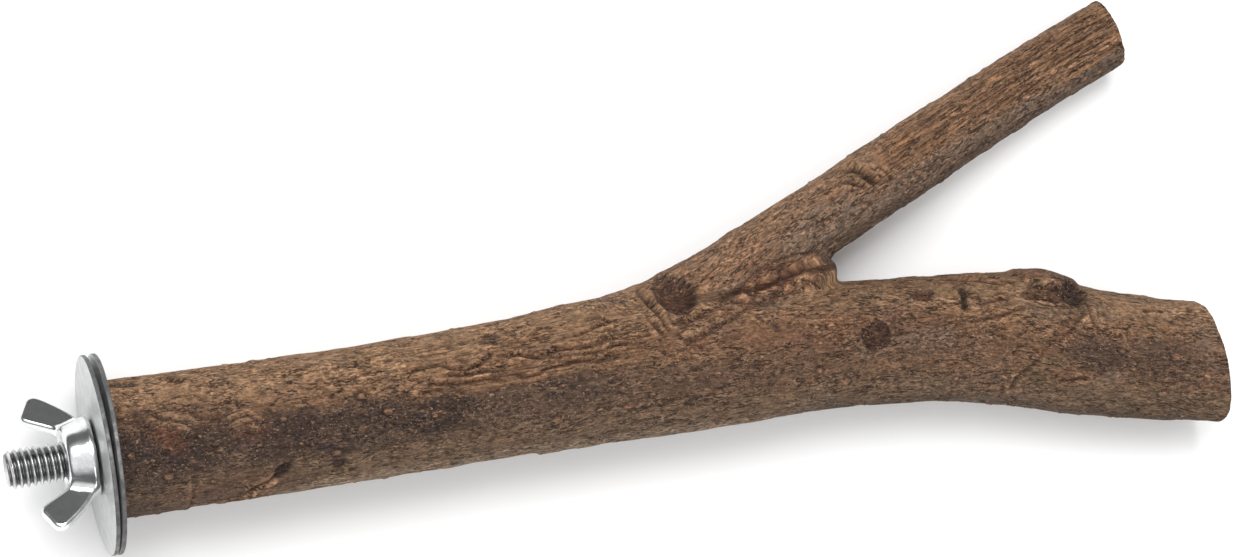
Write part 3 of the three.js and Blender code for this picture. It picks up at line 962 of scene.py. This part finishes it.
def close_rim(sheet, rim, rim_grain, cut):
    """Closes an open rim: with sawn wood on a cut, or plainly where it meets the next piece."""
    sawn = cut is not None
    rings = SAWN_RINGS if sawn else SEAM_RINGS
    inner, quads, triangles, shares = cap_over(rim, len(rim), rings)
    points = np.concatenate([rim, inner])
    shares = np.concatenate([np.zeros(len(rim)), shares])
    middle_grain = rim_grain.mean(axis=0)
    grain = np.concatenate([rim_grain, np.tile(rim_grain, (rings - 1, 1)), middle_grain[None]])
    grain[:, 1:] *= (1 - shares)[:, None]
    in_wood = ease(BARK_RING - 0.03, BARK_RING + 0.03, shares)
    in_pith = ease(0.96, 0.99, shares)
    colours = mix(INNER_BARK, SAWN_WOOD, in_wood[:, None])
    colours = mix(colours, PITH, in_pith[:, None])
    if sawn:
        heading = cut[1]
        across = points @ np.array([-np.sin(heading), np.cos(heading), 0.35])
        marks = SAW_MARK_DEPTH * np.sin(across * 2 * np.pi / SAW_MARK_SPACING + 2 * noise(points / 3, 701))
        marks += 0.08 * layered(points / 1.5, 2, 709) - 0.12
        marks *= ease(0, 0.05, shares)
        points = points + marks[:, None] * np.array([np.cos(heading), np.sin(heading), 0])
    first = sheet.count()
    colours = np.concatenate([colours, np.zeros((len(colours), 1))], axis=1)
    sheet.add(points, point_normals(points, quads, triangles), colours, grain)
    sheet.faces.append((quads + first, int(sawn)))
    sheet.faces.append((triangles + first, int(sawn)))


def wood_pieces(materials):
    """The bark and sawn ends of the whole branch, split into pieces at the forks."""
    points, quads, outward = surface_of(branch_distance, WOOD_LOW, WOOD_HIGH, WOOD_VOXEL)
    quads, on_cuts = saw(points, quads)
    region = piece_of(points[quads].mean(axis=1))
    height, colour, grain = bark_on(points)
    points = points + outward * height[:, None]
    for name, cut in CUTS.items():
        on_cuts[name] |= sawn_off(points, cut)
        push_to_cut(points, cut, on_cuts[name])
    points[:, 2] = np.maximum(points[:, 2], 0)
    normals = point_normals(points, quads)
    for number, name in enumerate(WOOD_PIECES):
        used, own = np.unique(quads[region == number], return_inverse=True)
        own = own.reshape(-1, 4)
        sheet = Sheet(points[used], normals[used], colour[used], grain[used])
        sheet.faces.append((own, 0))
        for loop in open_loops(own):
            rim = used[loop]
            cuts = [CUTS[end] for end in CUTS if on_cuts[end][rim].all()]
            close_rim(sheet, points[rim], grain[rim], cuts[0] if cuts else None)
        piece = sheet.build(name + "_wood", materials)
        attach(piece, "root")
        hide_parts(name)


# ---- Materials ----

def fill_ramp(node, stops):
    """Sets a colour ramp's (place, colour) stops."""
    elements = node.color_ramp.elements
    while len(elements) < len(stops):
        elements.new(0.5)
    for element, (place, colour) in zip(elements, stops):
        element.position = place
        element.color = (*colour, 1) if np.ndim(colour) else (colour, colour, colour, 1)


class Nodes:
    """A material's node tree, with short calls to add and join nodes."""

    def __init__(self, name):
        self.material = bpy.data.materials.new(name)
        self.material.use_nodes = True
        self.tree = self.material.node_tree
        self.shader = self.tree.nodes["Principled BSDF"]

    def add(self, kind, **inputs):
        node = self.tree.nodes.new("ShaderNode" + kind)
        for name, value in inputs.items():
            self.feed(node.inputs[name.replace("_", " ")], value)
        return node

    def feed(self, socket, value):
        if isinstance(value, bpy.types.NodeSocket):
            self.tree.links.new(value, socket)
        else:
            socket.default_value = value

    def set(self, **inputs):
        for name, value in inputs.items():
            self.feed(self.shader.inputs[name.replace("_", " ")], value)

    def attribute(self, name):
        node = self.tree.nodes.new("ShaderNodeAttribute")
        node.attribute_name = name
        return node.outputs

    def stretched(self, place, scale):
        node = self.add("Mapping", Vector=place)
        node.inputs["Scale"].default_value = scale
        return node.outputs["Vector"]

    def noise(self, place, scale, detail=3.0, roughness=0.55):
        node = self.add("TexNoise", Vector=place, Scale=scale, Detail=detail, Roughness=roughness)
        return node.outputs["Fac"]

    def ramp(self, value, *stops):
        node = self.add("ValToRGB", Fac=value)
        fill_ramp(node, stops)
        return node.outputs["Color"]

    def math(self, operation, first, second=0.0):
        node = self.tree.nodes.new("ShaderNodeMath")
        node.operation = operation
        self.feed(node.inputs[0], first)
        self.feed(node.inputs[1], second)
        return node.outputs[0]

    def blend(self, share, first, second, how="MIX"):
        node = self.tree.nodes.new("ShaderNodeMix")
        node.data_type = "RGBA"
        node.blend_type = how
        self.feed(node.inputs["Factor"], share)
        for socket, value in ((node.inputs[6], first), (node.inputs[7], second)):
            self.feed(socket, value if isinstance(value, bpy.types.NodeSocket) else (*value, 1))
        return node.outputs[2]

    def product(self, first, second):
        return self.math("MULTIPLY", first, second)

    def bump(self, height, distance, strength=1.0, normal=None):
        node = self.add("Bump", Height=height, Distance=distance, Strength=strength)
        if normal is not None:
            self.feed(node.inputs["Normal"], normal)
        return node.outputs["Normal"]


def bark_material():
    n = Nodes("bark")
    grain = n.attribute("grain")["Vector"]
    painted = n.attribute("bark_colour")["Color"]

    def streaks(along, across, scale, detail, roughness):
        """Noise with its own scale along the grain and across it."""
        place = n.stretched(grain, (along, across, across))
        return n.noise(place, scale, detail, roughness)

    # The mottle and fine noises both tint the bark and shape its bump: real mottling, together with painted
    # shade in the bump's hollows and painted light on its crests.
    mottle_and_relief_shade = streaks(0.5, 1.0, 1.1, 4, 0.66)
    fine = streaks(0.4, 1.0, 3.2, 4, 0.7)
    colour = n.blend(1.0, painted, n.ramp(mottle_and_relief_shade, (0.38, 0.70), (0.5, 1.0), (0.62, 1.28)), "MULTIPLY")
    patchy = streaks(0.5, 1.0, 0.22, 2, 0.5)
    rough_share = n.ramp(patchy, (0.42, 0.45), (0.54, 1.0))
    colour = n.blend(rough_share, colour, n.ramp(fine, (0.40, 0.38), (0.5, 1.0), (0.60, 1.75)), "MULTIPLY")
    hue = n.noise(grain, 0.3, 3, 0.6)
    drift = n.ramp(hue, (0.35, (0.96, 0.99, 1.04)), (0.65, (1.06, 1.0, 0.93)))
    colour = n.blend(0.6, colour, drift, "MULTIPLY")
    dashes = streaks(0.22, 1.25, 1.7, 2, 0.6)
    dash_share = n.ramp(dashes, (0.31, 0.8), (0.38, 0.0))
    colour = n.blend(dash_share, colour, DARK * 0.4)
    curls = streaks(0.55, 1.0, 1.05, 4, 0.6)
    scaly = n.ramp(patchy, (0.35, 0.25), (0.6, 1.0))
    shadowed = n.ramp(curls, (0.43, 0.0), (0.45, 0.85), (0.468, 0.0))
    lit = n.ramp(curls, (0.465, 0.0), (0.48, 0.6), (0.50, 0.0))
    colour = n.blend(n.product(shadowed, scaly), colour, DARK * 0.3)
    colour = n.blend(n.product(lit, scaly), colour, srgb(150, 118, 92))
    fissures = streaks(0.28, 1.0, 0.85, 3, 0.55)
    fissured = n.ramp(streaks(0.4, 0.9, 0.5, 3, 0.6), (0.46, 0.0), (0.53, 1.0))
    fissured = n.product(fissured, n.ramp(painted, (0.035, 0.1), (0.08, 1.0)))
    split = n.product(n.ramp(fissures, (0.455, 0.0), (0.482, 1.0), (0.508, 0.0)), fissured)
    raised = n.product(n.ramp(fissures, (0.508, 0.0), (0.53, 0.8), (0.565, 0.0)), fissured)
    colour = n.blend(split, colour, srgb(70, 48, 38) * 0.6)
    colour = n.blend(raised, colour, srgb(166, 134, 106))
    fibrous = n.attribute("bark_colour")["Alpha"]
    strands = streaks(0.09, 1.5, 1.7, 3, 0.6)
    dark_strands = n.ramp(strands, (0.36, 0.85), (0.45, 0.0))
    pale_strands = n.ramp(strands, (0.55, 0.0), (0.66, 0.6))
    colour = n.blend(n.product(dark_strands, fibrous), colour, srgb(66, 48, 40) * 0.8)
    colour = n.blend(n.product(pale_strands, fibrous), colour, srgb(176, 134, 98))
    flecks = streaks(1.0, 1.5, 2.3, 2, 0.5)
    fleck_share = n.ramp(flecks, (0.64, 0.0), (0.70, 0.6))
    colour = n.blend(fleck_share, colour, PALE)
    n.set(Base_Color=colour, Specular_IOR_Level=0.25)
    n.set(Roughness=n.ramp(fine, (0.2, 0.98), (0.8, 0.72)))
    bumped = n.bump(mottle_and_relief_shade, 0.0006, 0.7)
    bumped = n.bump(dashes, 0.0003, 0.5, bumped)
    bumped = n.bump(n.ramp(curls, (0.44, 0.0), (0.50, 1.0)), 0.00012, 0.8, bumped)
    bumped = n.bump(n.product(strands, fibrous), 0.0008, 0.8, bumped)
    bumped = n.bump(n.math("SUBTRACT", raised, split), 0.00025, 0.9, bumped)
    n.set(Normal=n.bump(fine, 0.0004, 1.0, bumped))
    return n.material


def sawn_material():
    n = Nodes("sawn_wood")
    grain = n.attribute("grain")["Vector"]
    painted = n.attribute("bark_colour")["Color"]
    across = n.stretched(grain, (0.0, 1.0, 1.0))
    place = n.add("VectorMath", Vector=across)
    place.operation = "LENGTH"
    wavy = n.product(n.noise(across, 0.35, 2, 0.5), 2.2)
    rings = n.math("SINE", n.product(n.math("ADD", place.outputs["Value"], wavy), 5.2))
    colour = n.blend(1.0, painted, n.ramp(rings, (0.1, 0.8), (0.9, 1.08)), "MULTIPLY")
    fibres = n.noise(across, 7.0, 3, 0.7)
    colour = n.blend(1.0, colour, n.ramp(fibres, (0.3, 0.78), (0.7, 1.12)), "MULTIPLY")
    checks = n.add("TexVoronoi", Vector=n.stretched(grain, (0.0, 0.5, 0.5)), Scale=0.9)
    checks.feature = "DISTANCE_TO_EDGE"
    cracks = n.ramp(checks.outputs["Distance"], (0.01, 0.75), (0.035, 0.0))
    colour = n.blend(cracks, colour, srgb(70, 50, 38))
    n.set(Base_Color=colour, Specular_IOR_Level=0.2)
    n.set(Roughness=n.ramp(fibres, (0.2, 0.95), (0.8, 0.8)))
    n.set(Normal=n.bump(fibres, 0.0002, 0.8))
    return n.material


def metal_material(name, tone, rough, grime, grime_and_shade_tone, bump_height, scale, shaded_hollows=False):
    """Plated metal with fine pits and a little dirt, with painted shade darkening its hollows where asked.
    """
    n = Nodes(name)
    place = n.tree.nodes.new("ShaderNodeTexCoord").outputs["Object"]
    dirt = n.noise(place, scale, 5, 0.65)
    specks = n.noise(place, scale * 6, 2, 0.6)
    colour = n.blend(n.ramp(dirt, (0.42, grime), (0.62, 0.0)), tone, grime_and_shade_tone)
    colour = n.blend(n.ramp(specks, (0.28, 0.5), (0.4, 0.0)), colour, grime_and_shade_tone)
    if shaded_hollows:
        # Painted shade: the thread's valleys are darkened towards the dark tone.
        rise = n.attribute("rise")["Fac"]
        colour = n.blend(n.ramp(rise, (0.1, 0.92), (0.75, 0.0)), colour, grime_and_shade_tone)
    n.set(Base_Color=colour, Metallic=1.0)
    n.set(Roughness=n.ramp(dirt, (0.3, min(rough * 1.7, 1.0)), (0.7, rough * 0.8)))
    n.set(Normal=n.bump(specks, bump_height, 0.6))
    return n.material


# ---- Stud, washers and wing nut ----

THREAD_MAJOR, THREAD_MINOR, THREAD_PITCH = 2.97, 2.39, 1.0
THREAD_CHAMFER, THREAD_STEEPNESS, THREAD_ROOT_FLAT, THREAD_SOFTNESS = 0.7, 2.6, 0.15, 0.35
# The stud's slightly domed end: the width and place of its first rings.
END_WIDTHS, END_SHIFTS = (0.3, 0.7, 0.92, 0.985), (-0.02, -0.015, 0.0, 0.03)
SCREW_MINOR, SCREW_PITCH, SCREW_DEPTH, SCREW_POINT, SCREW_TIP = 2.1, 2.5, 20.0, 5.0, 0.3
BOLT_SIDES, RINGS_PER_TURN = 96, 22
WASHER_RADIUS, WASHER_HOLE, WASHER_THICKNESS, WASHER_ROUNDING = 15.0, 3.2, 0.7, 0.16
WASHER_SIDES, WASHER_BUCKLE = 192, 0.04
INNER_WASHER_X, OUTER_WASHER_X, NUT_BASE_X = -0.6, -1.835, -2.505
NUT_TURN = np.radians(-35)
NUT_BASE_RADIUS, NUT_TOP_RADIUS, NUT_FOOT, NUT_HEIGHT, NUT_BORE = 6.1, 5.0, 0.8, 4.4, 3.12
NUT_VOXEL = 0.12
NUT_LOW, NUT_HIGH = (-11, -13, -7), (0.6, 13, 7)
# How wide the rounding is at the nut's edges, where the wings meet it, and at its bore.
EDGE_BLEND, WING_BLEND, BORE_BLEND = 0.7, 1.3, 0.25
BORE_CHAMFER, BORE_FLARE, CASTING_ROUGHNESS = 0.5, 0.7, 0.02
WING_THICKNESS, WING_ROOT, WING_ROUNDING = 1.7, 4.0, 0.42
WING_INNER_TIP, WING_OUTER_TIP, WING_CORNER = np.array([9.5, 8.1]), np.array([7.5, 12.1]), 0.25


def round_piece(name, rows, material, body, node):
    """A closed round piece from rows of points, each row a ring, with a fan at each open end."""
    count, sides = rows.shape[:2]
    numbers = np.arange(count * sides).reshape(count, sides)
    ends = np.stack([rows[0].mean(axis=0), rows[-1].mean(axis=0)])
    first, last = count * sides, count * sides + 1
    first_fan = fan(numbers[0], first)[:, [1, 0, 2]]
    fans = np.concatenate([first_fan, fan(numbers[-1], last)])
    points = np.concatenate([rows.reshape(-1, 3), ends])
    piece = mesh_object(name, points, [quads_between(numbers), fans])
    return finished(piece, material, body, node)


def finished(piece, material, body, node):
    piece.data.materials.append(material)
    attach(piece, body)
    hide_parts(node)
    return piece


def hanger_bolt(material):
    """A stud with a metric thread at one end and a wood screw's thread at the other."""
    stud = np.arange(-STUD_REACH, 0, THREAD_PITCH / RINGS_PER_TURN)
    screw = np.arange(0, SCREW_DEPTH, SCREW_PITCH / RINGS_PER_TURN)
    along = np.concatenate([[-STUD_REACH] * len(END_WIDTHS), stud, screw])[:, None]
    angle = np.linspace(0, 2 * np.pi, BOLT_SIDES, endpoint=False)[None]
    in_wood = along > 0
    pitch = np.where(in_wood, SCREW_PITCH, THREAD_PITCH)
    phase = (along / pitch - angle / (2 * np.pi)) % 1
    flank = np.clip(THREAD_STEEPNESS * np.abs(phase - 0.5) - THREAD_ROOT_FLAT, 0, 1)
    rise = mix(flank, ease(0, 1, flank), THREAD_SOFTNESS)
    root = np.where(in_wood, SCREW_MINOR, THREAD_MINOR)
    radius = root + (THREAD_MAJOR - root) * rise
    chamfer = THREAD_MAJOR - THREAD_CHAMFER + (along + STUD_REACH)
    point = SCREW_TIP + (THREAD_MAJOR - SCREW_TIP) * (SCREW_DEPTH - along) / SCREW_POINT
    radius = np.minimum(np.minimum(radius, chamfer), point)
    end_rings = len(END_WIDTHS)
    radius[:end_rings] *= np.array(END_WIDTHS)[:, None]
    x = np.broadcast_to(along, radius.shape).copy()
    x[:end_rings] += np.array(END_SHIFTS)[:, None]
    rows = np.stack([x, radius * np.cos(angle), AXIS_HEIGHT + radius * np.sin(angle)], axis=-1)
    piece = round_piece("bolt_threads", rows, material, "root", "hanger_bolt")
    heights = np.append(np.broadcast_to(rise, radius.shape).ravel(), [1.0, 1.0])
    attribute = piece.data.attributes.new("rise", "FLOAT", "POINT")
    attribute.data.foreach_set("value", heights.astype(np.float32))


def washer(name, x, lean, seed, material, edge_material, body, node):
    """A wide stamped washer with soft edges, very slightly uneven."""
    half, soft = WASHER_THICKNESS / 2, WASHER_ROUNDING
    outline = []
    corners = ((WASHER_HOLE, -half), (WASHER_RADIUS, -half), (WASHER_RADIUS, half), (WASHER_HOLE, half))
    for index, (radius, offset) in enumerate(corners):
        middle_radius = radius + soft if radius == WASHER_HOLE else radius - soft
        middle_offset = offset - np.sign(offset) * soft
        for turn in np.linspace(0, np.pi / 2, 6):
            at = np.pi + index * np.pi / 2 + turn
            outline.append((middle_offset + soft * np.sin(at), middle_radius + soft * np.cos(at)))
        if index in (0, 2):
            low, high = (WASHER_HOLE, WASHER_RADIUS) if index == 0 else (WASHER_RADIUS, WASHER_HOLE)
            for share in np.linspace(0.06, 0.94, 16):
                outline.append((offset, mix(low, high, share)))
    outline = np.array(outline)
    angle = np.linspace(0, 2 * np.pi, WASHER_SIDES, endpoint=False)
    radius, offset = outline[:, 1][:, None], outline[:, 0][:, None]
    y, z = radius * np.cos(angle), radius * np.sin(angle)
    flat = np.stack([y, z, np.zeros_like(y)], axis=-1).reshape(-1, 3)
    buckle = WASHER_BUCKLE * noise(flat / 8 + seed, seed).reshape(y.shape)
    rows = np.stack([offset + buckle, y, z], axis=-1)
    turned = np.array([[np.cos(lean), -np.sin(lean), 0], [np.sin(lean), np.cos(lean), 0], [0, 0, 1]])
    rows = rows @ turned.T + np.array([x, 0, AXIS_HEIGHT])
    count, sides = rows.shape[:2]
    numbers = np.arange(count * sides).reshape(count, sides)
    quads = quads_between(np.concatenate([numbers, numbers[:1]]))
    piece = mesh_object(name, rows.reshape(-1, 3), [quads])
    finished(piece, material, body, node)
    piece.data.materials.append(edge_material)
    on_edge = (outline[:, 1] > WASHER_RADIUS - 0.6 * WASHER_ROUNDING).astype(np.int32)
    piece.data.polygons.foreach_set("material_index", np.repeat(on_edge, sides))


def bend_through(start, pull, end, count=8):
    """Points along a quadratic curve, without its first one."""
    t = np.linspace(0, 1, count + 1)[1:, None]
    start, pull, end = np.array(start), np.array(pull), np.array(end)
    return (1 - t) ** 2 * start + 2 * t * (1 - t) * pull + t**2 * end


def wing_outline():
    corner = (WING_OUTER_TIP - WING_INNER_TIP) * WING_CORNER
    shoulder = WING_OUTER_TIP - (1.4, 0.6)
    neck = WING_INNER_TIP - (1, 0.7)
    foot = np.array([0.4, NUT_BASE_RADIUS - 0.4])
    outer_end, inner_start = WING_OUTER_TIP - corner, WING_INNER_TIP + corner
    return np.concatenate([
        [[0.4, WING_ROOT]], [foot],
        bend_through(foot, (2.6, NUT_BASE_RADIUS + 3), shoulder),
        bend_through(shoulder, WING_OUTER_TIP - (0.2, 0), outer_end),
        [inner_start],
        bend_through(inner_start, WING_INNER_TIP + (0.2, 0), neck),
        [[NUT_HEIGHT - 0.4, NUT_TOP_RADIUS - 0.1], [NUT_HEIGHT - 0.4, WING_ROOT]],
    ])


def outline_distance(across, up, outline):
    """Distance outside a closed outline, negative inside it."""
    gap = np.full(len(across), 99.0)
    inside = np.zeros(len(across), bool)
    for (x0, y0), (x1, y1) in zip(outline, np.roll(outline, -1, axis=0)):
        run_x, run_y = x1 - x0, y1 - y0
        t = np.clip(((across - x0) * run_x + (up - y0) * run_y) / (run_x**2 + run_y**2), 0, 1)
        gap = np.minimum(gap, np.hypot(across - x0 - t * run_x, up - y0 - t * run_y))
        if y0 != y1:
            crosses = (up >= min(y0, y1)) & (up < max(y0, y1))
            inside ^= crosses & (across < x0 + (up - y0) / run_y * run_x)
    return np.where(inside, -gap, gap)


WING_OUTLINE = wing_outline()


def nut_distance(points):
    """Distance outside a cast wing nut whose base is at x = 0 and whose wings stand along y."""
    along, y, z = -points[:, 0], points[:, 1], points[:, 2]
    radius = np.hypot(y, z)
    flat = outline_distance(along, np.abs(y), WING_OUTLINE) + WING_ROUNDING
    thick = np.abs(z) - WING_THICKNESS / 2 + WING_ROUNDING
    wings = np.minimum(np.maximum(flat, thick), 0) - WING_ROUNDING
    wings = wings + np.hypot(np.maximum(flat, 0), np.maximum(thick, 0))
    taper = (NUT_BASE_RADIUS - NUT_TOP_RADIUS) / (NUT_HEIGHT - NUT_FOOT)
    side = radius - NUT_BASE_RADIUS + taper * np.maximum(along - NUT_FOOT, 0)
    ends = np.maximum(-along, along - NUT_HEIGHT)
    hub = -smooth_min(-side, -ends, EDGE_BLEND)
    whole = smooth_min(hub, wings, WING_BLEND)
    bore = NUT_BORE + np.maximum(along - NUT_HEIGHT + BORE_CHAMFER, 0) * BORE_FLARE - radius
    whole = -smooth_min(-whole, -bore, BORE_BLEND)
    return whole + CASTING_ROUGHNESS * noise(points / 1.1, 801)


def wing_nut(material):
    points, quads, _ = surface_of(nut_distance, NUT_LOW, NUT_HIGH, NUT_VOXEL)
    cosine, sine = np.cos(NUT_TURN), np.sin(NUT_TURN)
    turned = np.array([[1, 0, 0], [0, cosine, -sine], [0, sine, cosine]])
    points = points @ turned.T + np.array([NUT_BASE_X, 0, AXIS_HEIGHT])
    piece = mesh_object("wing_nut_casting", points, [quads])
    return finished(piece, material, "wing_nut", "wing_nut")


# ---- Camera, light and floor ----

AIM = (81.26, 13.80, 12.0)
CAMERA_TILT, CAMERA_ROLL, CAMERA_DISTANCE = np.radians(14), np.radians(9), 706.6
LENS, SENSOR_WIDTH, FARTHEST_SEEN = 135, 36, 20
# The studio's tones, from straight down at 0 through eye level at 0.5 to straight up at 1.
STUDIO_TONES = ((0.0, 0.30), (0.14, 0.14), (0.52, 0.16), (0.82, 1.0))
# Each light's name, place, width and height in metres, and power in watts.
LIGHTS = (
    ("key", (-0.15, 0.55, 1.1), (0.9, 0.7), 14),
    ("fill", (0.3, -0.9, 0.9), (1.0, 0.8), 6),
)
FLOOR_HALF_SIZE, FLOOR_DROP = 3, 0.0002


def add_camera():
    ahead = Vector((np.sin(CAMERA_TILT), 0, -np.cos(CAMERA_TILT)))
    level_right = Vector((np.cos(CAMERA_TILT), 0, np.sin(CAMERA_TILT)))
    level_up = Vector((0, 1, 0))
    right = level_right * np.cos(CAMERA_ROLL) - level_up * np.sin(CAMERA_ROLL)
    up = level_right * np.sin(CAMERA_ROLL) + level_up * np.cos(CAMERA_ROLL)
    data = bpy.data.cameras.new("camera")
    data.lens = LENS
    data.sensor_width = SENSOR_WIDTH
    data.clip_end = FARTHEST_SEEN
    camera = bpy.data.objects.new("camera", data)
    place = Vector(metres(AIM)) - ahead * CAMERA_DISTANCE * MM
    camera.matrix_world = Matrix.Translation(place) @ Matrix((right, up, -ahead)).transposed().to_4x4()
    bpy.context.scene.collection.objects.link(camera)
    bpy.context.scene.camera = camera


def add_light(name, place, size, power):
    data = bpy.data.lights.new(name, "AREA")
    data.shape = "RECTANGLE"
    data.size, data.size_y = size
    data.energy = power
    lamp = bpy.data.objects.new(name, data)
    lamp.location = place
    lamp.rotation_euler = (-Vector(place)).to_track_quat("-Z", "Y").to_euler()
    bpy.context.scene.collection.objects.link(lamp)


def add_surroundings():
    """A studio that is bright overhead and dim at eye level, so that the plated parts have contrast."""
    world = bpy.data.worlds.new("studio")
    world.use_nodes = True
    tree = world.node_tree
    place = tree.nodes.new("ShaderNodeTexCoord")
    split = tree.nodes.new("ShaderNodeSeparateXYZ")
    ramp = tree.nodes.new("ShaderNodeValToRGB")
    tree.links.new(place.outputs["Generated"], split.inputs[0])
    tree.links.new(split.outputs["Z"], ramp.inputs["Fac"])
    tree.links.new(ramp.outputs["Color"], tree.nodes["Background"].inputs["Color"])
    fill_ramp(ramp, STUDIO_TONES)
    bpy.context.scene.world = world


def add_floor():
    mesh = bmesh.new()
    bmesh.ops.create_grid(mesh, x_segments=8, y_segments=8, size=FLOOR_HALF_SIZE)
    data = bpy.data.meshes.new("floor")
    mesh.to_mesh(data)
    mesh.free()
    floor = bpy.data.objects.new("floor", data)
    floor.location = (0, 0, -FLOOR_DROP)
    bpy.context.scene.collection.objects.link(floor)
    n = Nodes("paper")
    place = n.tree.nodes.new("ShaderNodeTexCoord").outputs["Object"]
    soft = n.noise(place, 3.0, 3, 0.5)
    n.set(Base_Color=n.ramp(soft, (0.3, 0.90), (0.7, 0.93)), Roughness=0.9, Specular_IOR_Level=0.1)
    data.materials.append(n.material)


# ---- Assembly ----

add_camera()
add_surroundings()
add_floor()
for light in LIGHTS:
    add_light(*light)
bpy.context.scene.view_settings.view_transform = "Standard"

wood_pieces((bark_material(), sawn_material()))
# The stud's thread valleys are darkened with painted shade.
stud_steel = metal_material(
    "stud_steel", (0.66, 0.67, 0.68), 0.25, 0.35, (0.10, 0.10, 0.095), 0.00003, 900, True)
washer_steel = metal_material(
    "washer_steel", (0.60, 0.62, 0.61), 0.34, 0.15, (0.30, 0.31, 0.31), 0.00001, 500)
washer_edge = metal_material(
    "washer_edge", (0.20, 0.20, 0.20), 0.5, 0.4, (0.08, 0.08, 0.08), 0.00004, 700)
nut_chrome = metal_material(
    "nut_chrome", (0.80, 0.81, 0.82), 0.12, 0.3, (0.42, 0.42, 0.42), 0.00002, 700)
hanger_bolt(stud_steel)
for name, x, lean, seed, body, node in (
    ("inner_washer_disc", INNER_WASHER_X, BASE_LEAN, 3, "root", "inner_washer"),
    ("outer_washer_disc", OUTER_WASHER_X, 0, 5, "clamp_washer", "outer_washer"),
):
    washer(name, x, lean, seed, washer_steel, washer_edge, body, node)
wing_nut(nut_chrome)
